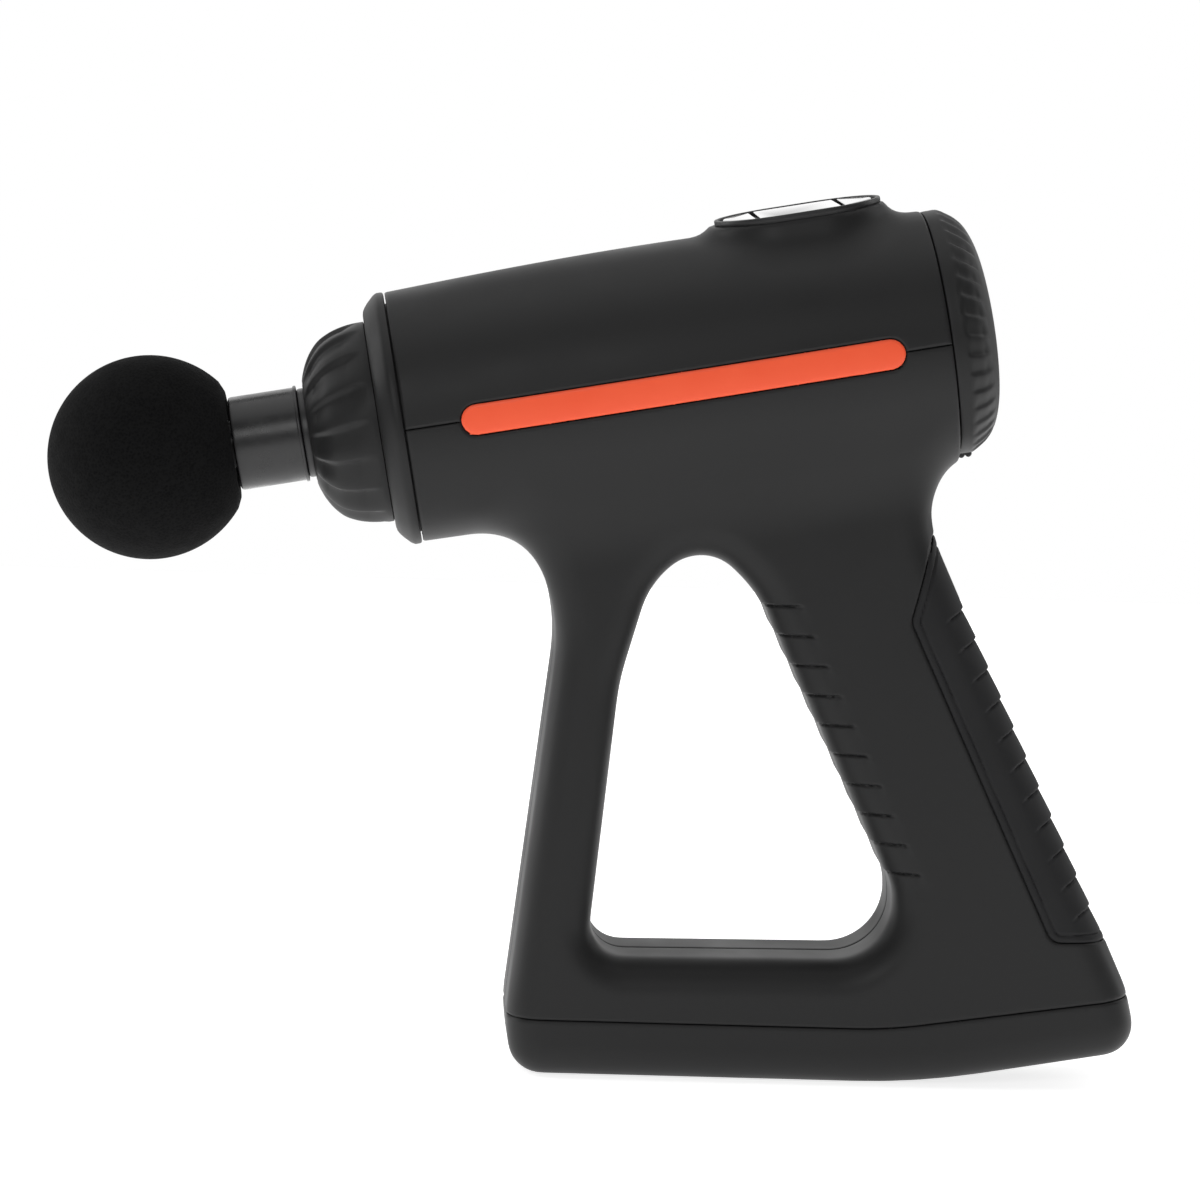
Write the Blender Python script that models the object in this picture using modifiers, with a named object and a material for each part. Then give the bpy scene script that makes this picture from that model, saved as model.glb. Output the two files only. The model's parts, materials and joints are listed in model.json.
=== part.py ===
"""Massage gun: percussion drive in a tilted barrel, on a triangular handle with a battery base.

Metres, +Z up, nose towards -X. Barrel pieces are modelled in the barrel's own frame: X runs along
the barrel's axis from the front seam to the back, Z is square to it, away from the handle.
"""

import math

import bmesh
import bpy
from mathutils import Matrix, Vector

# Barrel
BARREL_TILT = math.radians(10.91)
BARREL_FRONT = (-0.0507, 0.1626)  # x, z of the axis at the front seam
BARREL_LENGTH = 0.1347
BARREL_END_RADIUS = 0.0310
BARREL_BULGE = 0.0019
BARREL_SEGMENTS = 40
WALL = 0.0030
SEAM = 0.0003  # gap between neighbouring pieces

# Handle
HANDLE_THICKNESS = 0.038
HANDLE_ROUNDING = 0.0075
BASE_SEAM_HEIGHT = 0.0150
BASE_SEAM_REAR = 0.0255
SEAT_LENGTH = 0.085

# Nose
COLLAR_LENGTH = 0.0057
DOME_RADIUS = 0.0250
DOME_LENGTH = 0.0172
DOME_WALL = 0.0022

# Percussion drive
STROKE = 0.012
ROD_LENGTH = 0.034
ROD_THICKNESS = 0.0060
PISTON_RADIUS = 0.0110
PISTON_FRONT = -0.0249
PISTON_LENGTH = 0.0409
SOCKET_RADIUS = 0.0078
SOCKET_DEPTH = 0.026
WRIST_PIN_SETBACK = 0.0052
WRIST_PIN_RADIUS = 0.0025
CRANK_PIN_RADIUS = 0.0025
BEARING_WIDTH = 0.0025
CRANK_THICKNESS = 0.0040
CRANK_RADIUS = 0.0135
SLEEVE_WALL = 0.0026
RUNNING_GAP = 0.0003

# Motor, an outrunner whose shaft lies across the barrel
ROTOR_RADIUS = 0.0195
ROTOR_WALL = 0.0020
ROTOR_HEIGHT = 0.0120
SHAFT_RADIUS = 0.0020
PLATE_THICKNESS = 0.0025

# Attachment
STEM_RADIUS = 0.0116
STEM_LENGTH = 0.0174
SHANK_LENGTH = 0.0245
BALL_RADIUS = 0.0254

# Touch panel on top
PANEL_CENTRE = BARREL_LENGTH - 0.03035
PANEL_LENGTH = 0.0416
PANEL_WIDTH = 0.0310
PANEL_TOP = 0.0362
BEZEL_WIDTH = 0.0012
KEY_LENGTH = 0.0095

# Inlaid stripes and rear grip pad
STRIPE_START = 0.0137
STRIPE_END = BARREL_LENGTH - 0.0115
STRIPE_WIDTH = 0.0078
STRIPE_DEPTH = 0.0012
PAD_THICKNESS = 0.0014

# Battery and electronics
CELL_RADIUS = 0.0091
CELL_LENGTH = 0.065
BOARD_THICKNESS = 0.0016
SCREW_RADIUS = 0.0014
SCREW_HEAD_RADIUS = 0.0026
BOSS_RADIUS = 0.0036
SWITCH_TRAVEL = 0.0025
JACK_RADIUS = 0.0040
JACK_DEPTH = 0.0085
JACK_SETBACK = 0.0405

# Corners of the handle seen from the side: x, z and the radius that rounds them.
HANDLE_OUTLINE = (
    (-0.0184, 0.0, 0.0085),
    (-0.0203, 0.0150, 0.030),
    (-0.0100, 0.1165, 0.050),
    (-0.0212, 0.1400, 0.0),
    (-0.0212, 0.1500, 0.0),
    (0.0812, 0.1680, 0.0),
    (0.0803, 0.1405, 0.030),
    (0.1357, 0.0260, 0.014),
    (0.1398, 0.0100, 0.008),
    (SEAT_LENGTH, 0.0, 0.050),
)
OPENING_OUTLINE = (
    (-0.0006, 0.0302, 0.0088),
    (0.0050, 0.1000, 0.060),
    (0.0115, 0.1245, 0.022),
    (0.0245, 0.1362, 0.0114),
    (0.0380, 0.1235, 0.030),
    (0.0845, 0.0315, 0.0145),
)
PAD_OUTLINE = (
    (0.0800, 0.1390, 0.002),
    (0.0762, 0.1180, 0.004),
    (0.1152, 0.0385, 0.004),
    (0.1500, 0.0400, 0.0),
    (0.1000, 0.1500, 0.0),
)


def clear_scene():
    for obj in list(bpy.data.objects):
        bpy.data.objects.remove(obj)


def new_collection(name):
    collection = bpy.data.collections.new(name)
    bpy.context.scene.collection.children.link(collection)
    return collection


def principled(name, colour, roughness, metallic=0.0):
    material = bpy.data.materials.new(name)
    material.use_nodes = True
    shader = material.node_tree.nodes["Principled BSDF"]
    shader.inputs["Base Color"].default_value = (*colour, 1.0)
    shader.inputs["Roughness"].default_value = roughness
    shader.inputs["Metallic"].default_value = metallic
    return material


def empty(name, parent=None, location=(0, 0, 0), rotation=(0, 0, 0)):
    obj = bpy.data.objects.new(name, None)
    obj.empty_display_size = 0.02
    obj.location = location
    obj.rotation_euler = rotation
    obj.parent = parent
    parts.objects.link(obj)
    return obj


def node(name, mesh, look, parent, location=(0, 0, 0), rotation=(0, 0, 0)):
    """A visible sub-part with its own material."""
    obj = bpy.data.objects.new(name, mesh)
    obj.parent = parent
    obj.location = location
    obj.rotation_euler = rotation
    mesh.materials.clear()
    mesh.materials.append(principled(name, *look))
    mesh.shade_smooth()
    mesh.set_sharp_from_angle(angle=math.radians(35))
    parts.objects.link(obj)
    return obj


def tool(name, mesh, parent, location=(0, 0, 0)):
    """A hidden shape that cuts or joins others."""
    obj = bpy.data.objects.new(name, mesh)
    obj.parent = parent
    obj.location = location
    obj.display_type = "WIRE"
    obj.hide_render = True
    cutters.objects.link(obj)
    return obj


def boolean(obj, other, operation="DIFFERENCE"):
    """The lofted handle's tangent edges need the Manifold solver; every other shape takes Exact."""
    modifier = obj.modifiers.new(f"{operation.lower()} {other.name}", "BOOLEAN")
    modifier.operation = operation
    modifier.solver = "MANIFOLD" if obj.get("lofted") else "EXACT"
    modifier.object = other
    return obj


def from_bmesh(name, bm):
    bmesh.ops.recalc_face_normals(bm, faces=bm.faces)
    mesh = bpy.data.meshes.new(name)
    bm.to_mesh(mesh)
    bm.free()
    return mesh


def evaluated_mesh(obj, name):
    """The object's final shape as a plain closed mesh, in the object's own frame."""
    bpy.context.view_layer.update()
    graph = bpy.context.evaluated_depsgraph_get()
    mesh = bpy.data.meshes.new_from_object(obj.evaluated_get(graph))
    bm = bmesh.new()
    bm.from_mesh(mesh)
    bmesh.ops.remove_doubles(bm, verts=bm.verts, dist=1e-6)
    bpy.data.meshes.remove(mesh)
    return from_bmesh(name, bm)


def turned(name, profile, steps=32, axis="X"):
    """A closed profile of (along, radius) points turned about the axis."""
    bm = bmesh.new()
    along = Vector((1, 0, 0)) if axis == "X" else Vector((0, 1, 0))
    verts = [bm.verts.new(along * s + Vector((0, 0, r))) for s, r in profile]
    touches_axis = profile[0][1] == 0 and profile[-1][1] == 0
    pairs = list(zip(verts, verts[1:]))
    if not touches_axis:
        pairs.append((verts[-1], verts[0]))
    for first, second in pairs:
        bm.edges.new((first, second))
    mesh = bpy.data.meshes.new(name)
    bm.to_mesh(mesh)
    bm.free()
    obj = bpy.data.objects.new(name, mesh)
    cutters.objects.link(obj)
    screw = obj.modifiers.new("turn", "SCREW")
    screw.axis = axis
    screw.steps = steps
    screw.render_steps = steps
    screw.use_merge_vertices = True
    screw.merge_threshold = 1e-5
    result = evaluated_mesh(obj, name)
    bpy.data.objects.remove(obj)
    return result


def ring(name, start, end, inner, outer, steps=32, axis="X"):
    return turned(name, ((start, inner), (start, outer), (end, outer), (end, inner)), steps, axis)


def rod(name, start, end, radius, steps=24, axis="X"):
    return turned(name, ((start, 0), (start, radius), (end, radius), (end, 0)), steps, axis)


def block(name, low, high):
    bm = bmesh.new()
    bmesh.ops.create_cube(bm, size=1)
    size = Vector(high) - Vector(low)
    centre = (Vector(high) + Vector(low)) / 2
    bmesh.ops.transform(bm, matrix=Matrix.LocRotScale(centre, None, size), verts=bm.verts)
    return from_bmesh(name, bm)


def rounded(corners, step=math.radians(11)):
    """The outline of a polygon whose corners are arcs of the given radii."""
    points = []
    for i, (x, z, radius) in enumerate(corners):
        corner = Vector((x, z))
        before = (Vector(corners[i - 1][:2]) - corner).normalized()
        after = (Vector(corners[(i + 1) % len(corners)][:2]) - corner).normalized()
        if radius == 0:
            points.append(corner)
            continue
        half = before.angle(after) / 2
        centre = corner + (before + after).normalized() * radius / math.sin(half)
        start = corner + before * radius / math.tan(half) - centre
        end = corner + after * radius / math.tan(half) - centre
        turn = start.angle_signed(end)
        count = max(2, math.ceil(abs(turn) / step))
        for k in range(count + 1):
            points.append(centre + Matrix.Rotation(-turn * k / count, 2) @ start)
    return points


def offset(points, distance):
    """The closed outline moved to its left by distance: inwards where it runs anticlockwise."""
    moved = []
    for i, point in enumerate(points):
        before = (point - points[i - 1]).normalized()
        after = (points[(i + 1) % len(points)] - point).normalized()
        normal = Vector((-before.y - after.y, before.x + after.x)).normalized()
        cosine = max(0.5, normal.dot(Vector((-before.y, before.x))))
        moved.append(point + normal * distance / cosine)
    return moved


def anticlockwise(points):
    area = sum(a.cross(b) for a, b in zip(points, points[1:] + points[:1]))
    return points if area > 0 else points[::-1]


def slab(name, loops, half, rounding=0.0, resolution=0, upright=True):
    """Filled outlines with thickness 2 * half. Upright: in the XZ plane, else in the XY plane."""
    curve = bpy.data.curves.new(name, "CURVE")
    curve.dimensions = "2D"
    curve.fill_mode = "BOTH"
    curve.extrude = half - rounding
    curve.bevel_depth = rounding
    curve.bevel_resolution = resolution
    for loop in loops:
        spline = curve.splines.new("POLY")
        spline.points.add(len(loop) - 1)
        for point, place in zip(spline.points, loop):
            point.co = (*place, 0, 1)
        spline.use_cyclic_u = True
    obj = bpy.data.objects.new(name, curve)
    cutters.objects.link(obj)
    mesh = evaluated_mesh(obj, name)
    bpy.data.objects.remove(obj)
    if upright:
        mesh.transform(Matrix.Rotation(math.pi / 2, 4, "X"))
    return mesh


def stadium(length, width, step=math.radians(15)):
    """A slot outline with round ends, centred on the origin."""
    radius = width / 2
    reach = length / 2 - radius
    count = round(math.pi / step)
    points = []
    for centre, first in ((reach, -math.pi / 2), (-reach, math.pi / 2)):
        for k in range(count + 1):
            angle = first + math.pi * k / count
            points.append(Vector((centre + radius * math.cos(angle), radius * math.sin(angle))))
    return points


def barrel_radius(s):
    """The barrel swells gently between its two seams."""
    return BARREL_END_RADIUS + BARREL_BULGE * math.sin(math.pi * s / BARREL_LENGTH)


def barrel_solid(name, inset, overrun=0.0):
    stations = [BARREL_LENGTH * k / 8 for k in range(9)]
    stations[0] += SEAM / 2 - overrun
    stations[-1] += overrun - SEAM / 2
    profile = [(s, barrel_radius(s) - inset) for s in stations]
    profile = [(stations[0], 0.0)] + profile + [(stations[-1], 0.0)]
    return turned(name, profile, BARREL_SEGMENTS)


def pillow(name, outline, half, round_by, steps, hole=False):
    """An outline lofted across the handle with rounded edges. A hole's edges flare outwards instead."""
    direction = -1 if hole else 1
    levels = []
    for k in range(steps + 1):
        angle = math.pi / 2 * k / steps
        reach = half - round_by + round_by * math.sin(angle)
        levels.append((reach, round_by * (1 - math.cos(angle)) * direction))
    if hole:
        levels.append((half + 0.002, round_by * direction))
    rings = [(-y, inset) for y, inset in levels[::-1]] + levels
    bm = bmesh.new()
    loops = []
    for y, inset in rings:
        loops.append([bm.verts.new((point.x, y, point.y)) for point in offset(outline, inset)])
    for near, far in zip(loops, loops[1:]):
        for i in range(len(near)):
            bm.faces.new((near[i - 1], near[i], far[i], far[i - 1]))
    bm.faces.new(loops[0])
    bm.faces.new(loops[-1])
    return from_bmesh(name, bm)


def handle_solid(name, inset, steps):
    """The handle, with its finger opening, moved inwards by inset all over."""
    half = HANDLE_THICKNESS / 2 - inset
    round_by = HANDLE_ROUNDING - inset
    outer = offset(anticlockwise(rounded(HANDLE_OUTLINE)), inset)
    opening = offset(anticlockwise(rounded(OPENING_OUTLINE)), -inset)
    body = bpy.data.objects.new(name, pillow(name, outer, half, round_by, steps))
    cutters.objects.link(body)
    hole = bpy.data.objects.new(f"{name}_opening", pillow(name, opening, half, round_by, steps, True))
    cutters.objects.link(hole)
    body["lofted"] = True
    boolean(body, hole)
    mesh = evaluated_mesh(body, name)
    bpy.data.objects.remove(body)
    bpy.data.objects.remove(hole)
    return mesh


def base_region(name, gap):
    """Everything below the base seam, which rises towards the back."""
    low = -0.05
    seam = BASE_SEAM_HEIGHT - gap
    corners = (
        (-0.06, low, 0.0),
        (0.18, low, 0.0),
        (0.18, BASE_SEAM_REAR + 0.0065 - gap, 0.0),
        (0.074, seam, 0.16),
        (-0.06, seam, 0.0),
    )
    return slab(name, (rounded(corners),), 0.05)


def barrel_point(s, n=0.0):
    """World x and z of the point at s along the barrel's axis and n above it."""
    cosine, sine = math.cos(BARREL_TILT), math.sin(BARREL_TILT)
    return (
        BARREL_FRONT[0] + s * cosine - n * sine,
        BARREL_FRONT[1] + s * sine + n * cosine,
    )


BLACK = (0.020, 0.020, 0.021)
SOFT_PLASTIC = (BLACK, 0.55)
GLOSS_PLASTIC = ((0.010, 0.010, 0.011), 0.12)
RUBBER = ((0.014, 0.014, 0.014), 0.75)
STEEL = ((0.55, 0.55, 0.56), 0.28, 1.0)
BOARD_GREEN = ((0.02, 0.12, 0.06), 0.45)
BLACK_STEEL = ((0.030, 0.030, 0.032), 0.40, 1.0)

clear_scene()
parts = new_collection("massage_gun")
cutters = new_collection("massage_gun_cutters")

STEM_REAR = PISTON_FRONT
BALL_CENTRE = STEM_REAR - STEM_LENGTH - 0.0212
BALL_FRONT_X = barrel_point(BALL_CENTRE)[0] - BALL_RADIUS
BASE_REAR_X = max(point.x for point in rounded(HANDLE_OUTLINE))
WRIST_PIN = PISTON_FRONT + PISTON_LENGTH - WRIST_PIN_SETBACK
CRANK_AXIS = WRIST_PIN + ROD_LENGTH - STROKE / 2

root = empty("massage_gun_frame", location=(-(BALL_FRONT_X + BASE_REAR_X) / 2, 0, 0))
barrel = empty(
    "barrel_axis",
    root,
    (BARREL_FRONT[0], 0, BARREL_FRONT[1]),
    (0, -BARREL_TILT, 0),
)
crank_axis = empty("crank_axis", barrel, (CRANK_AXIS, 0, 0))
wrist_axis = empty("wrist_axis", barrel, (WRIST_PIN, 0, 0))


def housing():
    """Top shell, left and right shells and base cover, cut from one hollow form."""
    form = tool("housing_form", handle_solid("housing_form", 0.0, 2), root)
    form["lofted"] = True
    boolean(form, tool("barrel_outside", barrel_solid("barrel_outside", 0.0), barrel), "UNION")
    boolean(form, tool("barrel_inside", barrel_solid("barrel_inside", WALL, 0.01), barrel))
    boolean(form, tool("handle_inside", handle_solid("handle_inside", WALL, 1), root))
    lower = tool("lower_housing", evaluated_mesh(form, "lower_housing"), root)
    far = 0.3
    above = tool("above_parting", block("above_parting", (-far, -far, -SEAM / 2), (far, far, far)), barrel)
    lower["lofted"] = True
    boolean(lower, above)
    whole = evaluated_mesh(lower, "whole_lower")

    left = node("left_shell", whole.copy(), SOFT_PLASTIC, root)
    right = node("right_shell", whole.copy(), SOFT_PLASTIC, root)
    base = node("base_cover", handle_solid("base_cover", 0.0, 2), SOFT_PLASTIC, root)
    for shell in (left, right, base):
        shell["lofted"] = True
    half = SEAM / 2
    right_half = block("right_of_middle", (-far, -half, -far), (far, far, far))
    boolean(left, tool("right_of_middle", right_half, root))
    left_half = block("left_of_middle", (-far, -far, -far), (far, half, far))
    boolean(right, tool("left_of_middle", left_half, root))
    below = tool("below_base_seam", base_region("below_base_seam", -half), root)
    boolean(left, below)
    boolean(right, below)
    boolean(base, tool("base_zone", base_region("base_zone", half), root), "INTERSECT")
    boolean(base, bpy.data.objects["handle_inside"])

    top = node("top_shell", barrel_solid("top_shell", 0.0), SOFT_PLASTIC, barrel)
    lower_half = block("below_parting", (-far, -far, -far), (far, far, SEAM / 2))
    boolean(top, tool("below_parting", lower_half, barrel))
    pedestal_top = PANEL_TOP - 0.0018
    pedestal = slab(
        "pedestal",
        (stadium(PANEL_LENGTH + 0.004, PANEL_WIDTH + 0.004),),
        (pedestal_top - 0.024) / 2,
        upright=False,
    )
    lift = (pedestal_top + 0.024) / 2
    boolean(top, tool("pedestal", pedestal, barrel, (PANEL_CENTRE, 0, lift)), "UNION")
    boolean(top, bpy.data.objects["barrel_inside"])
    pocket = slab(
        "panel_pocket",
        (stadium(PANEL_LENGTH - 2 * BEZEL_WIDTH, PANEL_WIDTH - 2 * BEZEL_WIDTH),),
        0.010,
        upright=False,
    )
    boolean(top, tool("panel_pocket", pocket, barrel, (PANEL_CENTRE, 0, PANEL_TOP)))
    return top, left, right, base


def stripes(top, left, right):
    """An inlaid strip on each side, covering the parting line of the barrel."""
    length = STRIPE_END - STRIPE_START
    middle = (STRIPE_START + STRIPE_END) / 2
    slots = slab("stripe_slots", (stadium(length + 2 * SEAM, STRIPE_WIDTH + 2 * SEAM),), 0.05)
    slot = tool("stripe_slots", slots, barrel, (middle, 0, 0))
    floor = barrel_solid("stripe_floor", STRIPE_DEPTH + SEAM)
    boolean(slot, tool("stripe_floor", floor, barrel))
    for shell in (top, left, right):
        boolean(shell, slot)
    skin = tool("stripe_skin", barrel_solid("stripe_skin", 0.0), barrel)
    core = tool("stripe_core", barrel_solid("stripe_core", STRIPE_DEPTH), barrel)
    for name, side in (("stripe_left", -1), ("stripe_right", 1)):
        blank = slab(name, (stadium(length, STRIPE_WIDTH),), 0.010)
        stripe = node(name, blank, ((0.90, 0.13, 0.07), 0.35), barrel, (middle, side * 0.028, 0))
        boolean(stripe, skin, "INTERSECT")
        boolean(stripe, core)


def rear_pad(left, right):
    """A thin rubber pad let into the back of the grip, round both sides."""
    outline = anticlockwise(rounded(PAD_OUTLINE))
    pad = node("rear_grip_pad", handle_solid("rear_grip_pad", 0.0, 2), RUBBER, root)
    pad["lofted"] = True
    boolean(pad, tool("pad_zone", slab("pad_zone", (outline,), 0.05), root), "INTERSECT")
    boolean(pad, tool("pad_back", handle_solid("pad_back", PAD_THICKNESS, 1), root))
    seat = tool("pad_seat", slab("pad_seat", (offset(outline, -SEAM),), 0.05), root)
    seat["lofted"] = True
    boolean(seat, tool("pad_seat_floor", handle_solid("pad_seat_floor", PAD_THICKNESS + SEAM, 1), root))
    boolean(left, seat)
    boolean(right, seat)


def nose():
    """Front collar and the fluted dome that the piston comes out of."""
    collar_front = -SEAM - COLLAR_LENGTH
    lip = BARREL_END_RADIUS + 0.0005
    seat = DOME_RADIUS - 0.0001
    collar = turned(
        "front_collar",
        (
            (-SEAM, seat),
            (-SEAM, lip),
            (-0.0015, lip),
            (collar_front + 0.0005, lip - 0.0036),
            (collar_front, lip - 0.0042),
            (collar_front, seat),
        ),
        40,
    )
    node("front_collar", collar, SOFT_PLASTIC, barrel)
    rear = collar_front - 0.0003
    front = rear - DOME_LENGTH
    arc = 6
    outside = []
    inside = []
    hole = PISTON_RADIUS + 0.0006
    for k in range(arc + 1):
        angle = math.pi / 2 * k / arc
        reach = math.sin(angle)
        spread = math.cos(angle) ** 0.75
        outside.append((rear - 0.004 - (DOME_LENGTH - 0.004) * reach, hole + (DOME_RADIUS - hole) * spread))
        inside.append(
            (
                rear - 0.004 - (DOME_LENGTH - 0.004 - DOME_WALL) * reach,
                hole + (DOME_RADIUS - DOME_WALL - hole) * spread,
            )
        )
    skirt_rear = 0.0030
    skirt = seat - SEAM
    profile = [(skirt_rear, skirt), (rear, skirt), (rear, DOME_RADIUS)] + outside
    profile += inside[::-1] + [(skirt_rear, DOME_RADIUS - DOME_WALL)]
    node("nose_dome", turned("nose_dome", profile, 30), SOFT_PLASTIC, barrel)


def rear_cap():
    """Domed cover that closes the back of the barrel, with a small slide switch under it."""
    start = BARREL_LENGTH + SEAM / 2
    rim = barrel_radius(BARREL_LENGTH) - 0.0003
    depth = 0.0134
    points = [(start, rim), (start + 0.0040, rim)]
    inner = [(start, rim - 0.0026), (start + 0.0030, rim - 0.0026)]
    for k in range(1, 6):
        angle = math.pi / 2 * k / 5
        fall = math.cos(angle) ** 0.6
        points.append((start + 0.0040 + (depth - 0.0040) * math.sin(angle), rim * fall))
        inner.append((start + 0.0030 + (depth - 0.0055) * math.sin(angle), (rim - 0.0026) * fall))
    points[-1] = (points[-1][0], 0.0)
    inner[-1] = (inner[-1][0], 0.0)
    skirt = barrel_radius(BARREL_LENGTH) - WALL - SEAM
    skirt_front = start - 0.005
    edge = [(skirt_front, skirt - 0.0018), (skirt_front, skirt), (start, skirt)]
    profile = inner[::-1][:-1] + edge + points
    cap = node("rear_cap", turned("rear_cap", profile, 40), SOFT_PLASTIC, barrel)
    window_low = (start + 0.0006, -0.0045, -rim - 0.01)
    window_high = (start + 0.0036, 0.0045, -rim + 0.008)
    window = block("switch_window", window_low, window_high)
    boolean(cap, tool("switch_window", window, barrel))

    knob = block("power_switch", (-0.0012, -0.0016, -0.0036), (0.0012, 0.0016, 0.0))
    slider = node(
        "power_switch",
        knob,
        GLOSS_PLASTIC,
        barrel,
        (start + 0.0021, -SWITCH_TRAVEL / 2, -rim + 0.0028),
    )
    ridge = block("switch_ridges", (-0.0004, -0.0016, -0.0045), (0.0004, 0.0016, -0.0032))
    boolean(slider, tool("switch_ridges", ridge, slider), "UNION")
    top = -rim + 0.0028 + 3 * SEAM
    body = block("switch_body", (start + 0.0014, -0.0040, top), (start + 0.0040, 0.0040, top + 0.0034))
    node("switch_body", body, GLOSS_PLASTIC, barrel)


def touch_panel():
    """Bezel, display window, a key at each end, and the board under them."""
    bottom = PANEL_TOP - 0.0015
    height = PANEL_TOP - bottom
    hole = (PANEL_LENGTH - 2 * BEZEL_WIDTH, PANEL_WIDTH - 2 * BEZEL_WIDTH)
    loops = (stadium(PANEL_LENGTH, PANEL_WIDTH), stadium(*hole))
    bezel = slab("panel_bezel", loops, height / 2, upright=False)
    place = (PANEL_CENTRE, 0, (PANEL_TOP + bottom) / 2)
    node("panel_bezel", bezel, ((0.03, 0.03, 0.03), 0.3), barrel, place)

    glass = (hole[0] - 2 * SEAM, hole[1] - 2 * SEAM)
    key_edge = glass[0] / 2 - KEY_LENGTH
    window = slab("display_lens", (stadium(*glass),), 0.0010, upright=False)
    lens_place = (PANEL_CENTRE, 0, PANEL_TOP - 0.0012)
    lens = node("display_lens", window, ((0.004, 0.004, 0.005), 0.04), barrel, lens_place)
    trim = block("lens_trim", (-key_edge + SEAM, -0.03, -0.01), (key_edge - SEAM, 0.03, 0.01))
    boolean(lens, tool("lens_trim", trim, lens), "INTERSECT")
    for name, side in (("key_front", -1), ("key_rear", 1)):
        cap = slab(name, (stadium(*glass),), 0.0010, upright=False)
        cap.transform(Matrix.Translation((-side * (key_edge + KEY_LENGTH / 2), 0, 0)))
        centre = PANEL_CENTRE + side * (key_edge + KEY_LENGTH / 2)
        key = node(name, cap, ((0.005, 0.005, 0.006), 0.06), barrel, (centre, 0, PANEL_TOP - 0.0012))
        reach = (-KEY_LENGTH / 2, KEY_LENGTH)
        low, high = (reach[0], reach[1]) if side > 0 else (-reach[1], -reach[0])
        keep = block(f"{name}_trim", (low, -0.03, -0.01), (high, 0.03, 0.01))
        boolean(key, tool(f"{name}_trim", keep, key), "INTERSECT")
    outline = stadium(hole[0] - 0.004, hole[1] - 0.004)
    board = slab("display_board", (outline,), BOARD_THICKNESS / 2, upright=False)
    node("display_board", board, BOARD_GREEN, barrel, (PANEL_CENTRE, 0, PANEL_TOP - 0.0060))


def drive_frame():
    """Guide sleeve, chassis and the rubber rings that hang them in the housing."""
    bore = PISTON_RADIUS + RUNNING_GAP
    outer = bore + SLEEVE_WALL
    rear = PISTON_FRONT + PISTON_LENGTH - 0.004
    front = PISTON_FRONT + 0.0045
    node("guide_sleeve", ring("guide_sleeve", front, rear, bore, outer), ((0.75, 0.75, 0.72), 0.4), barrel)
    inside = DOME_RADIUS - DOME_WALL
    damper = ring("front_damper", -0.0150, -0.0090, outer + SEAM, inside - 0.0030)
    node("front_damper", damper, RUBBER, barrel)
    hub = outer + SEAM + 0.0065
    chassis_rear = rear - 0.0005
    chassis = ring("chassis", 0.0040, chassis_rear, outer + SEAM, hub)
    frame = node("chassis", chassis, ((0.62, 0.63, 0.65), 0.42, 1.0), barrel)
    plate_y = motor_far_face() + SEAM
    rail_low = (0.0065, hub - 0.0085, -0.0060)
    rail_high = (CRANK_AXIS, plate_y + PLATE_THICKNESS, 0.0060)
    rail = block("chassis_rail", rail_low, rail_high)
    clear = block(
        "chassis_rail_gap",
        (chassis_rear + 0.0005, -0.01, -0.02),
        (CRANK_AXIS + 0.02, plate_y, 0.02),
    )
    arm = tool("chassis_rail", rail, barrel)
    boolean(arm, tool("chassis_rail_gap", clear, barrel))
    space = rod("sleeve_space", -0.05, chassis_rear + 0.001, hub - 0.003, 32)
    boolean(arm, tool("sleeve_space", space, barrel))
    boolean(frame, arm, "UNION")
    plate = rod("motor_plate", plate_y, plate_y + PLATE_THICKNESS, 0.0150, 32, "Y")
    boolean(frame, tool("motor_plate", plate, barrel, (CRANK_AXIS, 0, 0)), "UNION")
    shell_inside = barrel_radius(0.008) - WALL
    tyre = ring("rear_damper", 0.0050, chassis_rear - 0.0005, hub + SEAM, shell_inside - 0.0006)
    ring_node = node("rear_damper", tyre, RUBBER, barrel)
    notch = block(
        "damper_notch",
        (0.0, hub - 0.0090, -0.0064),
        (0.030, plate_y + PLATE_THICKNESS + SEAM, 0.0064),
    )
    boolean(ring_node, tool("damper_notch", notch, barrel))


def crank_near_face():
    return ROD_THICKNESS / 2 + 2 * RUNNING_GAP


def motor_far_face():
    return crank_near_face() + CRANK_THICKNESS + ROTOR_HEIGHT + 0.0008


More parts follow.
